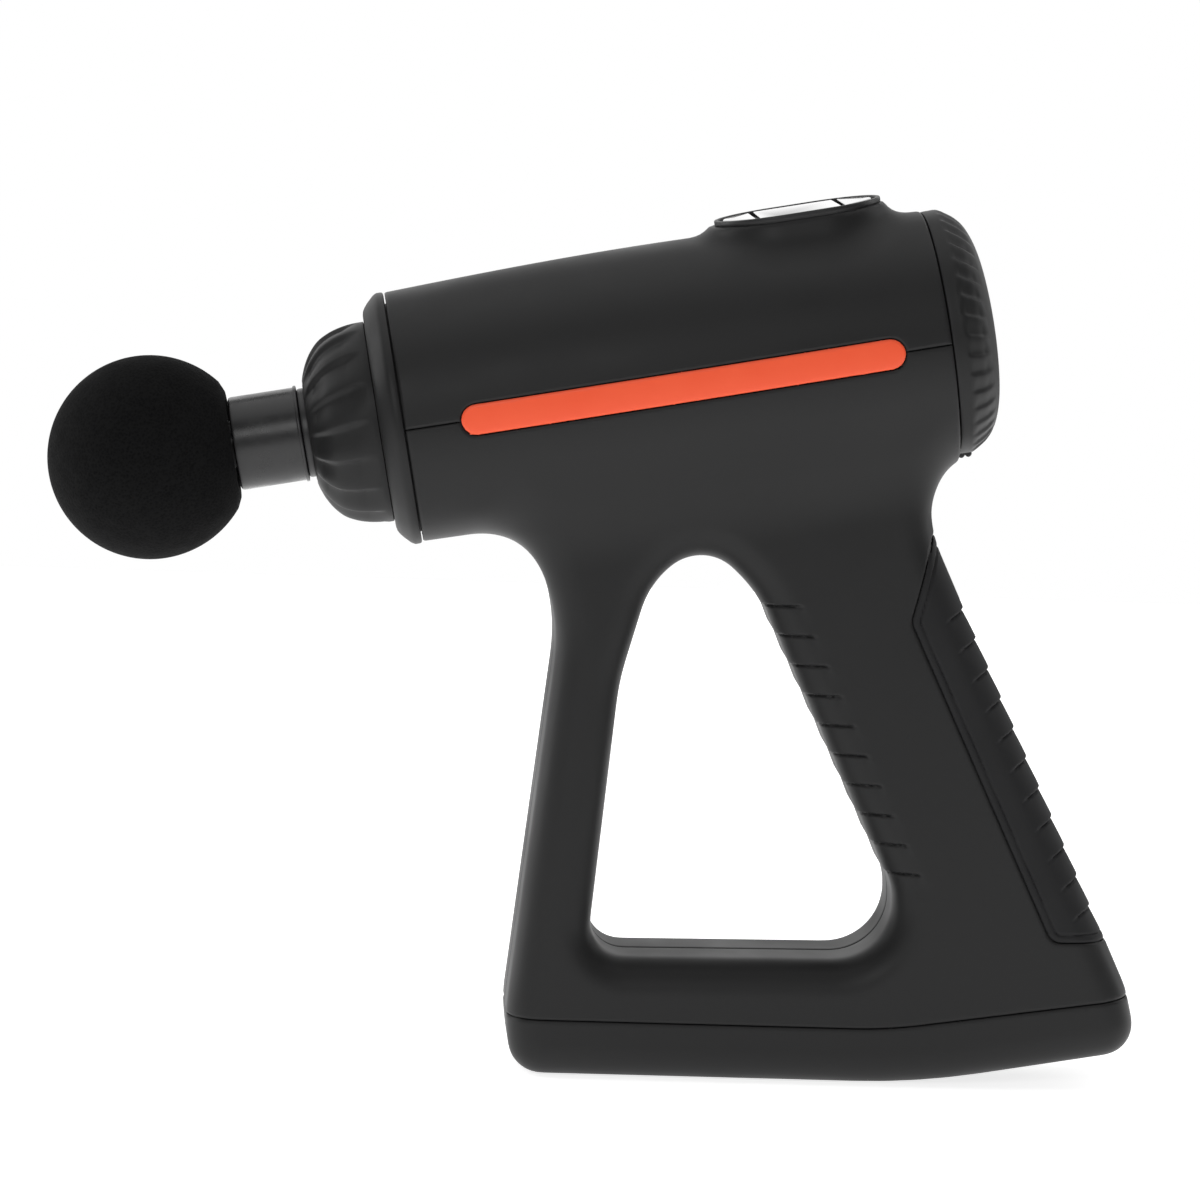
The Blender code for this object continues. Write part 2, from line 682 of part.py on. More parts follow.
def motor():
    """Stator on the chassis; rotor, shaft and weighted crank disc turn together."""
    crank = crank_near_face()
    rotor = crank + CRANK_THICKNESS + 0.0004
    end = rotor + ROTOR_HEIGHT
    cup = turned(
        "rotor_bell",
        (
            (rotor, SHAFT_RADIUS + SEAM),
            (rotor, ROTOR_RADIUS),
            (end, ROTOR_RADIUS),
            (end, ROTOR_RADIUS - ROTOR_WALL),
            (rotor + ROTOR_WALL, ROTOR_RADIUS - ROTOR_WALL),
            (rotor + ROTOR_WALL, SHAFT_RADIUS + SEAM),
        ),
        36,
        "Y",
    )
    node("rotor_bell", cup, STEEL, crank_axis)
    shaft_end = motor_far_face() - 0.0004
    shaft = rod("motor_shaft", crank + 0.0003, shaft_end, SHAFT_RADIUS, 20, "Y")
    node("motor_shaft", shaft, STEEL, crank_axis)
    disc = ring("crank_disc", crank, crank + CRANK_THICKNESS, SHAFT_RADIUS + SEAM, CRANK_RADIUS, 36, "Y")
    weight = node("crank_disc", disc, ((0.45, 0.46, 0.48), 0.35, 1.0), crank_axis)
    relief_y = crank + CRANK_THICKNESS - 0.0015
    for side in (-1, 1):
        slot = block(
            f"crank_relief_{side}",
            (0.0005, -0.01, 0.0055 * side - 0.0025),
            (CRANK_RADIUS - 0.0035, relief_y + 0.01, 0.0055 * side + 0.0025),
        )
        boolean(weight, tool(f"crank_relief_{side}", slot, crank_axis))
    bearing_outer = 0.0045
    core_radius = ROTOR_RADIUS - ROTOR_WALL - 0.0006
    core_near = rotor + ROTOR_WALL + 0.0008
    core = ring("stator", core_near, motor_far_face(), bearing_outer + SEAM, core_radius, 36, "Y")
    stator = node("stator", core, ((0.72, 0.38, 0.20), 0.4, 1.0), crank_axis)
    teeth = 9
    for k in range(teeth):
        slot = block(f"stator_slot_{k}", (0.0085, 0.0, -0.0011), (core_radius + 0.002, 0.05, 0.0011))
        slot.transform(Matrix.Rotation(2 * math.pi * k / teeth, 4, "Y"))
        boolean(stator, tool(f"stator_slot_{k}", slot, crank_axis))
    bearing = ring(
        "motor_bearing",
        rotor + ROTOR_WALL + 0.0015,
        motor_far_face() - 0.0020,
        SHAFT_RADIUS + SEAM,
        bearing_outer,
        24,
        "Y",
    )
    node("motor_bearing", bearing, STEEL, crank_axis)


def percussion():
    """Piston with its clevis, the connecting rod, its pins and its big-end bearing."""
    rear = PISTON_FRONT + PISTON_LENGTH
    piston_mesh = turned(
        "piston",
        (
            (rear, 0.0),
            (rear, PISTON_RADIUS),
            (PISTON_FRONT + 0.0006, PISTON_RADIUS),
            (PISTON_FRONT, PISTON_RADIUS - 0.0006),
            (PISTON_FRONT, SOCKET_RADIUS),
            (PISTON_FRONT + SOCKET_DEPTH, SOCKET_RADIUS),
            (PISTON_FRONT + SOCKET_DEPTH, 0.0),
        ),
        32,
    )
    piston = node("piston", piston_mesh, ((0.60, 0.61, 0.62), 0.3, 1.0), barrel)
    slot_half = ROD_THICKNESS / 2 + RUNNING_GAP
    slot = block("clevis_slot", (WRIST_PIN - 0.0062, -slot_half, -0.02), (rear + 0.01, slot_half, 0.02))
    boolean(piston, tool("clevis_slot", slot, barrel))
    pin_hole = rod("wrist_hole", -0.02, 0.02, WRIST_PIN_RADIUS + RUNNING_GAP, 20, "Y")
    boolean(piston, tool("wrist_hole", pin_hole, wrist_axis))
    pin = rod("wrist_pin", -PISTON_RADIUS + 0.0018, PISTON_RADIUS - 0.0018, WRIST_PIN_RADIUS, 20, "Y")
    node("wrist_pin", pin, STEEL, wrist_axis)

    half = ROD_THICKNESS / 2
    small_end = WRIST_PIN_RADIUS + 0.0026
    bearing_outer = CRANK_PIN_RADIUS + SEAM + BEARING_WIDTH
    big_end = bearing_outer + SEAM + 0.0018
    beam = block("connecting_rod", (0.0, -half, -0.0030), (ROD_LENGTH, half, 0.0030))
    link = node("connecting_rod", beam, ((0.70, 0.71, 0.73), 0.35, 1.0), wrist_axis)
    boolean(link, tool("rod_small_end", rod("rod_small_end", -half, half, small_end, 24, "Y"), wrist_axis), "UNION")
    eye = rod("rod_big_end", -half, half, big_end, 28, "Y")
    boolean(link, tool("rod_big_end", eye, wrist_axis, (ROD_LENGTH, 0, 0)), "UNION")
    small_bore = rod("rod_small_bore", -0.02, 0.02, WRIST_PIN_RADIUS + RUNNING_GAP, 20, "Y")
    boolean(link, tool("rod_small_bore", small_bore, wrist_axis))
    big_bore = rod("rod_big_bore", -0.02, 0.02, bearing_outer + SEAM, 28, "Y")
    boolean(link, tool("rod_big_bore", big_bore, wrist_axis, (ROD_LENGTH, 0, 0)))
    race = ring("rod_bearing", -half + 0.0003, half - 0.0003, CRANK_PIN_RADIUS + SEAM, bearing_outer, 28, "Y")
    node("rod_bearing", race, STEEL, wrist_axis, (ROD_LENGTH, 0, 0))
    stub = rod("crank_pin", -half + 0.0003, crank_near_face() - RUNNING_GAP, CRANK_PIN_RADIUS, 20, "Y")
    node("crank_pin", stub, STEEL, wrist_axis, (ROD_LENGTH, 0, 0))


def attachment():
    """Plug-in head: a stem with its shank in the piston's socket, and a foam ball."""
    front = STEM_REAR - STEM_LENGTH
    groove = SOCKET_RADIUS - SEAM - 0.0012
    shank = SOCKET_RADIUS - SEAM
    shank_end = STEM_REAR + SHANK_LENGTH
    spigot = 0.0060
    spigot_front = BALL_CENTRE
    profile = (
        (spigot_front, 0.0),
        (spigot_front, spigot),
        (front - 0.0001, spigot),
        (front, STEM_RADIUS - 0.0006),
        (front + 0.0006, STEM_RADIUS),
        (STEM_REAR - SEAM - 0.0016, STEM_RADIUS),
        (STEM_REAR - SEAM - 0.0012, STEM_RADIUS + 0.0003),
        (STEM_REAR - SEAM, STEM_RADIUS + 0.0003),
        (STEM_REAR - SEAM, shank),
        (shank_end - 0.0100, shank),
        (shank_end - 0.0100, groove),
        (shank_end - 0.0080, groove),
        (shank_end - 0.0080, shank),
        (shank_end - 0.0010, shank),
        (shank_end, shank - 0.0010),
        (shank_end, 0.0),
    )
    node("attachment_stem", turned("attachment_stem", profile, 32), ((0.012, 0.012, 0.012), 0.25), barrel)
    seal = ring("stem_o_ring", shank_end - 0.0098, shank_end - 0.0082, groove + 0.0001, shank + 0.0002, 32)
    node("stem_o_ring", seal, RUBBER, barrel)
    bm = bmesh.new()
    bmesh.ops.create_uvsphere(bm, u_segments=28, v_segments=16, radius=BALL_RADIUS)
    bmesh.ops.rotate(bm, verts=bm.verts, matrix=Matrix.Rotation(math.pi / 2, 3, "Y"))
    ball = node("foam_ball", from_bmesh("foam_ball", bm), ((0.006, 0.006, 0.006), 0.9), barrel, (BALL_CENTRE, 0, 0))
    sink = rod("ball_socket", spigot_front - SEAM, 0.0, spigot + SEAM, 32)
    boolean(ball, tool("ball_socket", sink, barrel))
    seat = rod("ball_seat", front - SEAM, 0.0, STEM_RADIUS + 0.004, 32)
    boolean(ball, tool("ball_seat", seat, barrel))


def battery():
    """Two cells in the base, two in the grip, with their cradle and boards."""
    cell = ((0.05, 0.22, 0.48), 0.35)
    shape = turned(
        "battery_cell",
        (
            (0.0, 0.0),
            (0.0, CELL_RADIUS),
            (CELL_LENGTH - 0.0015, CELL_RADIUS),
            (CELL_LENGTH - 0.0015, 0.0035),
            (CELL_LENGTH, 0.0035),
            (CELL_LENGTH, 0.0),
        ),
        24,
    )
    base_z = WALL + 0.0061 + CELL_RADIUS
    first = -0.0158
    second = first + CELL_LENGTH + 0.0012
    node("battery_cell_1", shape.copy(), cell, root, (first, 0, base_z))
    node("battery_cell_2", shape.copy(), cell, root, (second, 0, base_z))
    cradle = block("cell_cradle", (first + 0.016, -0.0110, WALL + 2 * SEAM), (0.076, 0.0120, base_z - 0.004))
    tray = node("cell_cradle", cradle, ((0.25, 0.25, 0.26), 0.6), root)
    bed = rod("cradle_bed", -0.05, 0.20, CELL_RADIUS + SEAM, 24)
    boolean(tray, tool("cradle_bed", bed, root, (0, 0, base_z)))

    low = Vector((0.1042, 0.0400))
    high = Vector((0.0577, 0.1365))
    lean = math.atan2(high.y - low.y, high.x - low.x)
    grip = empty("grip_axis", root, (low.x, 0, low.y), (0, -lean, 0))
    for name, side in (("battery_cell_3", 1), ("battery_cell_4", -1)):
        node(name, shape.copy(), cell, grip, (0.004, 0, side * (CELL_RADIUS + 0.0003)))
    start = 0.006 + CELL_LENGTH
    bms = block("battery_board", (start, -0.0100, -0.0140), (start + BOARD_THICKNESS, 0.0100, 0.0140))
    node("battery_board", bms, BOARD_GREEN, grip)
    board_rear = BARREL_LENGTH - 0.0127
    control = block("control_board", (0.066, -0.0200, -0.0140), (board_rear, 0.0200, -0.0140 + BOARD_THICKNESS))
    node("control_board", control, BOARD_GREEN, barrel)


def charge_jack(base):
    """Round DC inlet let into the sloping floor at the back of the base."""
    flat_end = Vector((SEAT_LENGTH, 0.0))
    tail = Vector(HANDLE_OUTLINE[-2][:2]) - flat_end
    slope = math.atan2(tail.y, tail.x)
    mouth = flat_end + tail.normalized() * JACK_SETBACK
    tail_axis = empty("tail_axis", root, (mouth.x, 0, mouth.y), (0, -slope - math.pi / 2, 0))
    body = rod("charge_jack", SEAM, JACK_DEPTH, JACK_RADIUS, 20)
    jack = node("charge_jack", body, ((0.03, 0.03, 0.03), 0.35), tail_axis)
    socket = rod("jack_socket", -0.01, JACK_DEPTH - 0.0012, JACK_RADIUS - 0.0012, 20)
    boolean(jack, tool("jack_socket", socket, tail_axis))
    hole = rod("jack_hole", -0.01, JACK_DEPTH + 0.01, JACK_RADIUS + SEAM, 20)
    boolean(base, tool("jack_hole", hole, tail_axis))


def fasten(left, right):
    """Screws from the right side into bosses that join the two shells."""
    places = (
        ("shell_screw_1", -0.0030, 0.1180),
        ("shell_screw_2", -0.0090, 0.0450),
        ("shell_screw_3", 0.0660, 0.1380),
        ("shell_screw_4", 0.1180, 0.0330),
        ("shell_screw_5", 0.0490, 0.1330),
    )
    depth = HANDLE_THICKNESS / 2
    head_y = depth - 0.0016
    for name, x, z in places:
        post = ring(f"{name}_post", SEAM / 2, depth - WALL / 2, SCREW_RADIUS + SEAM, BOSS_RADIUS, 16, "Y")
        boolean(right, tool(f"{name}_post", post, root, (x, 0, z)), "UNION")
        socket = ring(f"{name}_nut", -depth + WALL / 2, -SEAM / 2, SCREW_RADIUS + SEAM, BOSS_RADIUS, 16, "Y")
        boolean(left, tool(f"{name}_nut", socket, root, (x, 0, z)), "UNION")
        bore = rod(f"{name}_bore", -depth / 2, depth + 0.01, SCREW_RADIUS + SEAM, 16, "Y")
        boolean(right, tool(f"{name}_bore", bore, root, (x, 0, z)))
        sink = rod(f"{name}_sink", head_y - 0.0020 - SEAM, depth + 0.01, SCREW_HEAD_RADIUS + SEAM, 16, "Y")
        boolean(right, tool(f"{name}_sink", sink, root, (x, 0, z)))
        screw = turned(
            name,
            (
                (-0.0080, 0.0),
                (-0.0080, SCREW_RADIUS),
                (head_y - 0.0020, SCREW_RADIUS),
                (head_y - 0.0020, SCREW_HEAD_RADIUS),
                (head_y, SCREW_HEAD_RADIUS),
                (head_y, 0.0),
            ),
            16,
            "Y",
        )
        node(name, screw, BLACK_STEEL, root, (x, 0, z))


top_shell, left_shell, right_shell, base_cover = housing()
stripes(top_shell, left_shell, right_shell)
rear_pad(left_shell, right_shell)
nose()
rear_cap()
touch_panel()
drive_frame()
motor()
percussion()
attachment()
battery()
charge_jack(base_cover)
fasten(left_shell, right_shell)
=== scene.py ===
"""Looks of the massage gun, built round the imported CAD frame.

Lengths are in millimetres in the design frame of the CAD model: x runs from nose to back, z is up,
y = 0 is the middle plane. The barrel has its own coordinates: s along its axis from the front seam,
n square to it and away from the handle. Meshes are moved into the row frame, in metres, at the end.
"""

import json
import math

import bmesh
import bpy
import numpy as np
from mathutils import Matrix, Vector


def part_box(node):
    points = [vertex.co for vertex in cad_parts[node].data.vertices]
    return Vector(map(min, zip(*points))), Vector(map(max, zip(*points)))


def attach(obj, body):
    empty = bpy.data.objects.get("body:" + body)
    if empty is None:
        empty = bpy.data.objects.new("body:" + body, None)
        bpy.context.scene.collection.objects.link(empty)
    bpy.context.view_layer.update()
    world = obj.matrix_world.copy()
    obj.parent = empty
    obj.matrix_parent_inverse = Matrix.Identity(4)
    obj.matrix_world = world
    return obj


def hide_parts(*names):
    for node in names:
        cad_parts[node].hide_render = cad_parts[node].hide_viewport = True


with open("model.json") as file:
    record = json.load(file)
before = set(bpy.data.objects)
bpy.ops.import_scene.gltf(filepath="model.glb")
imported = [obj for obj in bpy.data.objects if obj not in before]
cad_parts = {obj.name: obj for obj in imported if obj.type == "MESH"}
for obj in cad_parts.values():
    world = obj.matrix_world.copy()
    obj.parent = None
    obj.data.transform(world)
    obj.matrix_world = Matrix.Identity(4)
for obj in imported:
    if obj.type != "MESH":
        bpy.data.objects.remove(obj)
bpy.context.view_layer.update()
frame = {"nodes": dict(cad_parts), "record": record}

MM = 0.001
JOINTS = {joint["name"]: joint for joint in frame["record"]["behaviour"]["joints"]}
AXIS = -np.array(JOINTS["piston_stroke"]["axis"], float)
NORMAL = np.array([-AXIS[2], 0.0, AXIS[0]])
CRANK_STATION = 38.8
ORIGIN = np.array(JOINTS["crank_turn"]["pos_m"], float) / MM - AXIS * CRANK_STATION
SHIFT = np.array([ORIGIN[0] + 50.7, 0.0, 0.0])  # design frame to row frame
FRONT = ORIGIN - SHIFT

# Barrel
LENGTH = 134.7
FRONT_RADIUS = 31.2
REAR_RADIUS = 30.7
BULGE = 1.4
HALF_GAP = 0.16
WALL = 2.2
BARREL_OVERRUN = 3  # past each end seam, so that the seams cut clean through
BARREL_REACH = -45  # the end seams stop this far below the barrel's axis

# Handle: corners of its outlines as x, z and corner radius. They stay close to the CAD model's.
HALF_THICKNESS = 19.0
ROUNDING = 8.5
BLEND = 15.0
HANDLE_OUTLINE = (
    (-18.4, 0.0, 8.5),
    (-20.3, 15.0, 30.0),
    (-10.4, 114.0, 45.0),
    (-19.0, 137.0, 0.0),
    (-19.0, 150.0, 0.0),
    (80.6, 168.0, 0.0),
    (80.6, 140.5, 30.0),
    (135.7, 26.0, 14.0),
    (139.8, 10.0, 8.0),
    (84.0, 0.0, 180.0),
)
OPENING_OUTLINE = (
    (-0.6, 30.2, 8.8),
    (5.0, 100.0, 60.0),
    (11.5, 124.5, 22.0),
    (24.5, 136.2, 11.4),
    (38.0, 123.5, 30.0),
    (84.5, 31.5, 14.5),
)
PAD_OUTLINE = (
    (81.2, 139.0, 2.0),
    (76.2, 118.0, 3.5),
    (115.2, 38.2, 4.0),
    (160.0, 39.2, 0.0),
    (105.0, 152.0, 0.0),
)

# Touch panel
PANEL_CENTRE = 104.35
PANEL_LENGTH = 41.6
PANEL_WIDTH = 31.0
PEDESTAL_TOP = 35.0
PEDESTAL_FOOT = 10
PEDESTAL_MARGIN = 0.4
PEDESTAL_ROUNDING = 1.2
PEDESTAL_BLEND = 7.0

# Stripe
STRIPE = (13.7, 123.2, 7.8)

# Grooves of the grip: first and last point along each side, and how many.
FINGER_GROOVES = ((40.1, 120.2), (72.7, 53.7), 10)
FINGER_GROOVE_RUN = (9.6, 1.1)
THUMB_GROOVES = ((89.7, 120.6), (125.3, 46.6), 11)
THUMB_GROOVE_RUN = (-5.6, -2.8)


# ---------------------------------------------------------------- distance fields


def rounded(corners, step=math.radians(3)):
    """The outline of a polygon whose corners are arcs of the given radii."""
    points = []
    for i, (x, z, radius) in enumerate(corners):
        corner = Vector((x, z))
        before = (Vector(corners[i - 1][:2]) - corner).normalized()
        after = (Vector(corners[(i + 1) % len(corners)][:2]) - corner).normalized()
        if radius == 0:
            points.append(corner)
            continue
        half = before.angle(after) / 2
        centre = corner + (before + after).normalized() * radius / math.sin(half)
        start = corner + before * radius / math.tan(half) - centre
        end = corner + after * radius / math.tan(half) - centre
        turn = start.angle_signed(end)
        count = max(2, math.ceil(abs(turn) / step))
        for k in range(count + 1):
            points.append(centre + Matrix.Rotation(-turn * k / count, 2) @ start)
    return np.array([tuple(point) for point in points])


def polygon_distance(outline, x, z):
    """Signed distance to a closed outline, negative inside."""
    best = np.full(x.shape, 1e9)
    inside = np.zeros(x.shape, bool)
    for (ax, az), (bx, bz) in zip(outline, np.roll(outline, -1, axis=0)):
        ex, ez = bx - ax, bz - az
        wx, wz = x - ax, z - az
        t = np.clip((wx * ex + wz * ez) / (ex * ex + ez * ez + 1e-12), 0, 1)
        best = np.minimum(best, (wx - ex * t) ** 2 + (wz - ez * t) ** 2)
        crosses = (az > z) != (bz > z)
        if az != bz:
            inside ^= crosses & (x < ax + (z - az) / (bz - az) * ex)
    return np.where(inside, -1, 1) * np.sqrt(best)


class Plane2D:
    """A smoothed grid of a distance in the side view, read with a cubic so that surfaces have no facets."""

    LOW = (-60.0, -30.0)
    SIZE = (240, 230)
    STEP = 1.0

    def __init__(self, distance, passes=2):
        x = self.LOW[0] + self.STEP * np.arange(self.SIZE[0])
        z = self.LOW[1] + self.STEP * np.arange(self.SIZE[1])
        values = distance(*np.meshgrid(x, z, indexing="ij"))
        for _ in range(passes):
            padded = np.pad(values, 1, mode="edge")
            values = (padded[:-2, 1:-1] + 2 * padded[1:-1, 1:-1] + padded[2:, 1:-1]) / 4
            padded = np.pad(values, 1, mode="edge")
            values = (padded[1:-1, :-2] + 2 * padded[1:-1, 1:-1] + padded[1:-1, 2:]) / 4
        self.values = values

    @staticmethod
    def weights(t):
        """Uniform cubic B-spline."""
        return (
            (1 - t) ** 3 / 6,
            (3 * t**3 - 6 * t**2 + 4) / 6,
            (-3 * t**3 + 3 * t**2 + 3 * t + 1) / 6,
            t**3 / 6,
        )

    def __call__(self, x, z):
        u = np.clip((x - self.LOW[0]) / self.STEP, 1, self.SIZE[0] - 3.001)
        v = np.clip((z - self.LOW[1]) / self.STEP, 1, self.SIZE[1] - 3.001)
        i, j = u.astype(int), v.astype(int)
        wu, wv = self.weights(u - i), self.weights(v - j)
        total = np.zeros(x.shape)
        for a in range(4):
            for b in range(4):
                total += wu[a] * wv[b] * self.values[i + a - 1, j + b - 1]
        return total


def smooth_union(a, b, reach):
    h = np.maximum(reach - np.abs(a - b), 0) / reach
    return np.minimum(a, b) - h * h * reach / 4


def rounded_slab(flat, thick, radius):
    """Distance to a slab given its distances in plan and through its thickness, edges rounded."""
    p, q = flat + radius, thick + radius
    outside = np.hypot(np.maximum(p, 0), np.maximum(q, 0))
    return np.minimum(np.maximum(p, q), 0) + outside - radius


def barrel_coordinates(x, z):
    dx, dz = x - FRONT[0], z - FRONT[2]
    return dx * AXIS[0] + dz * AXIS[2], dx * NORMAL[0] + dz * NORMAL[2]


def stadium_distance(u, v, length, width):
    reach = (length - width) / 2
    return np.hypot(np.maximum(np.abs(u) - reach, 0), v) - width / 2


def barrel_radius(s):
    along = np.clip(s / LENGTH, 0, 1)
    return FRONT_RADIUS + (REAR_RADIUS - FRONT_RADIUS) * along + BULGE * np.sin(math.pi * along)


def barrel_lift(s):
    along = np.clip(s / LENGTH, 0, 1)
    return 0.15 + 0.65 * np.sin(math.pi * along)


handle_plan = Plane2D(
    lambda x, z: np.maximum(
        polygon_distance(rounded(HANDLE_OUTLINE), x, z),
        -polygon_distance(rounded(OPENING_OUTLINE), x, z),
    )
)
pad_outline = rounded(PAD_OUTLINE)


def body_form(points):
    """Signed distance to the housing's outer skin: barrel, handle and panel pedestal run together."""
    x, y, z = points[:, 0], points[:, 1], points[:, 2]
    s, n = barrel_coordinates(x, z)
    barrel = np.hypot(y, n - barrel_lift(s)) - barrel_radius(s)
    barrel = np.maximum(barrel, np.abs(s - LENGTH / 2) - LENGTH / 2 - BARREL_OVERRUN)
    handle = rounded_slab(handle_plan(x, z), np.abs(y) - HALF_THICKNESS, ROUNDING)
    total = smooth_union(barrel, handle, BLEND)
    size = (PANEL_LENGTH + PEDESTAL_MARGIN, PANEL_WIDTH + PEDESTAL_MARGIN)
    plan = stadium_distance(s - PANEL_CENTRE, y, *size)
    height = np.maximum(n - PEDESTAL_TOP, PEDESTAL_FOOT - n)
    pedestal = rounded_slab(plan, height, PEDESTAL_ROUNDING)
    return np.maximum(smooth_union(total, pedestal, PEDESTAL_BLEND), n - PEDESTAL_TOP)


def gradient(function, points, h=0.05):
    columns = []
    for k in range(3):
        step = np.zeros(3)
        step[k] = h
        columns.append((function(points + step) - function(points - step)) / (2 * h))
    return np.stack(columns, 1)


def settle(function, points, rounds):
    """Moves points onto the zero surface along its gradient."""
    for _ in range(rounds):
        slope = gradient(function, points)
        length2 = np.maximum((slope**2).sum(1), 0.05)
        step = (function(points) / length2)[:, None] * slope
        size = np.maximum(np.linalg.norm(step, axis=1, keepdims=True), 1e-9)
        points = points - step * np.minimum(size, 1.0) / size
    return points


def surface_net(function, low, high, step):
    """Quads over the zero surface of a distance, one point for each grid cell that it passes through."""
    counts = [int(math.ceil((b - a) / step)) + 1 for a, b in zip(low, high)]
    axes = [a + step * np.arange(c) for a, c in zip(low, counts)]
    values = np.empty(counts)
    grid_x, grid_z = np.meshgrid(axes[0], axes[2], indexing="ij")
    for j, y in enumerate(axes[1]):
        flat = np.stack([grid_x.ravel(), np.full(grid_x.size, y), grid_z.ravel()], 1)
        values[:, j, :] = function(flat).reshape(grid_x.shape)
    inside = values < 0
    corners = [(i, j, k) for i in (0, 1) for j in (0, 1) for k in (0, 1)]
    total = np.zeros([count - 1 for count in counts], int)
    for i, j, k in corners:
        total += inside[i : i + counts[0] - 1, j : j + counts[1] - 1, k : k + counts[2] - 1]
    active = np.argwhere((total > 0) & (total < 8))
    index = np.full([c - 1 for c in counts], -1)
    index[tuple(active.T)] = np.arange(len(active))
    sums = np.zeros((len(active), 3))
    hits = np.zeros(len(active))
    for a in corners:
        for k in range(3):
            if a[k]:
                continue
            b = list(a)
            b[k] = 1
            va = values[tuple((active + a).T)]
            vb = values[tuple((active + b).T)]
            cut = (va < 0) != (vb < 0)
            t = np.where(cut, va / np.where(cut, va - vb, 1), 0)
            place = active + np.array(a, float)
            place[:, k] += t
            sums[cut] += place[cut]
            hits += cut
    points = np.array(low) + step * sums / hits[:, None]
    quads = []
    for k in range(3):
        u, v = (k + 1) % 3, (k + 2) % 3
        near = [slice(None)] * 3
        far = [slice(None)] * 3
        near[k] = slice(0, -1)
        far[k] = slice(1, None)
        first, second = inside[tuple(near)], inside[tuple(far)]
        for flip, mask in ((False, first & ~second), (True, ~first & second)):
            at = np.argwhere(mask)
            at = at[(at[:, u] > 0) & (at[:, v] > 0)]
            ring = []
            for du, dv in ((-1, -1), (0, -1), (0, 0), (-1, 0)):
                where = at.copy()
                where[:, u] += du
                where[:, v] += dv
                ring.append(index[tuple(where.T)])
            quad = np.stack(ring, 1)
            quads.append(quad[:, ::-1] if flip else quad)
    return points, np.concatenate(quads)


def relax(function, points, quads, rounds=4):
    """Evens out the net: each point moves towards its neighbours' middle, then back onto the surface."""
    ends = np.concatenate([quads[:, [0, 1]], quads[:, [1, 2]], quads[:, [2, 3]], quads[:, [3, 0]]])
    for _ in range(rounds):
        total = np.zeros_like(points)
        count = np.zeros(len(points))
        np.add.at(total, ends[:, 0], points[ends[:, 1]])
        np.add.at(count, ends[:, 0], 1)
        points = points + 0.6 * (total / count[:, None] - points)
        points = settle(function, points, 1)
    return settle(function, points, 2)


# ---------------------------------------------------------------- mesh helpers


def coordinates(bm):
    return np.array([vert.co[:] for vert in bm.verts])


def place_points(bm, points):
    for vert, point in zip(bm.verts, points):
        vert.co = point


def split_at(bm, level_function):
    """Cuts the faces along the line where the function is zero."""
    bm.verts.ensure_lookup_table()
    values = level_function(coordinates(bm))
    bm.verts.index_update()
    on_line = [bm.verts[i] for i in np.flatnonzero(np.abs(values) < 1e-4)]
    crossing = []
    for edge in bm.edges:
        a, b = values[edge.verts[0].index], values[edge.verts[1].index]
        if a * b < 0 and min(abs(a), abs(b)) > 1e-4:
            crossing.append((edge, edge.verts[0], a / (a - b)))
    for edge, vert, t in crossing:
        on_line.append(bmesh.utils.edge_split(edge, vert, t)[1])
    bmesh.ops.connect_verts(bm, verts=on_line)


def new_bmesh(points, faces):
    mesh = bpy.data.meshes.new("made")
    mesh.from_pydata(points.tolist(), [], faces)
    bm = bmesh.new()
    bm.from_mesh(mesh)
    bpy.data.meshes.remove(mesh)
    return bm


def as_object(name, bm, smooth=True):
    """An object in the row frame, in metres, from a mesh in design millimetres, which is freed."""
    mesh = bpy.data.meshes.new(name)
    bm.to_mesh(mesh)
    bm.free()
    mesh.transform(Matrix.Scale(MM, 4) @ Matrix.Translation(SHIFT))
    if smooth:
        mesh.shade_smooth()
        mesh.set_sharp_from_angle(angle=math.radians(40))
    obj = bpy.data.objects.new(name, mesh)
    bpy.context.scene.collection.objects.link(obj)
    return obj


def applied(obj):
    """Bakes the object's modifiers into its mesh."""
    bpy.context.view_layer.update()
    graph = bpy.context.evaluated_depsgraph_get()
    mesh = bpy.data.meshes.new_from_object(obj.evaluated_get(graph))
    obj.modifiers.clear()
    old = obj.data
    obj.data = mesh
    bpy.data.meshes.remove(old)
    return obj


def barrel_to_design(points):
    """(s, y, n) to design x, y, z."""
    points = np.asarray(points, float)
    across = np.array([0.0, 1.0, 0.0])
    return FRONT + points[:, :1] * AXIS + points[:, 1:2] * across + points[:, 2:] * NORMAL


def lathe(name, profile, segments, shape=None, centre=(0.0, 0.0)):
    """A closed body turned about the barrel's axis from (s, r) points.

    shape(s, r, angle, ring) gives each point's own s and r, for flutes. ring is its place in the profile.
    """
    profile = np.array(profile, float)
    rings = len(profile)
    angle = 2 * math.pi * np.arange(segments) / segments
    s = np.repeat(profile[:, 0], segments)
    r = np.repeat(profile[:, 1], segments)
    theta = np.tile(angle, rings)
    if shape is not None:
        s, r = shape(s, r, theta, np.repeat(np.arange(rings), segments))
    points = np.stack([s, centre[0] + r * np.sin(theta), centre[1] + r * np.cos(theta)], 1)
    closed = profile[0, 1] > 0 and profile[-1, 1] > 0
    faces = []
    for i in range(rings if closed else rings - 1):
        j = (i + 1) % rings
        for k in range(segments):
            m = (k + 1) % segments
            faces.append((i * segments + k, i * segments + m, j * segments + m, j * segments + k))
    bm = new_bmesh(barrel_to_design(points), faces)
    bmesh.ops.remove_doubles(bm, verts=bm.verts, dist=1e-4)
    bmesh.ops.dissolve_degenerate(bm, edges=bm.edges, dist=1e-5)
    bmesh.ops.recalc_face_normals(bm, faces=bm.faces)
    return as_object(name, bm)


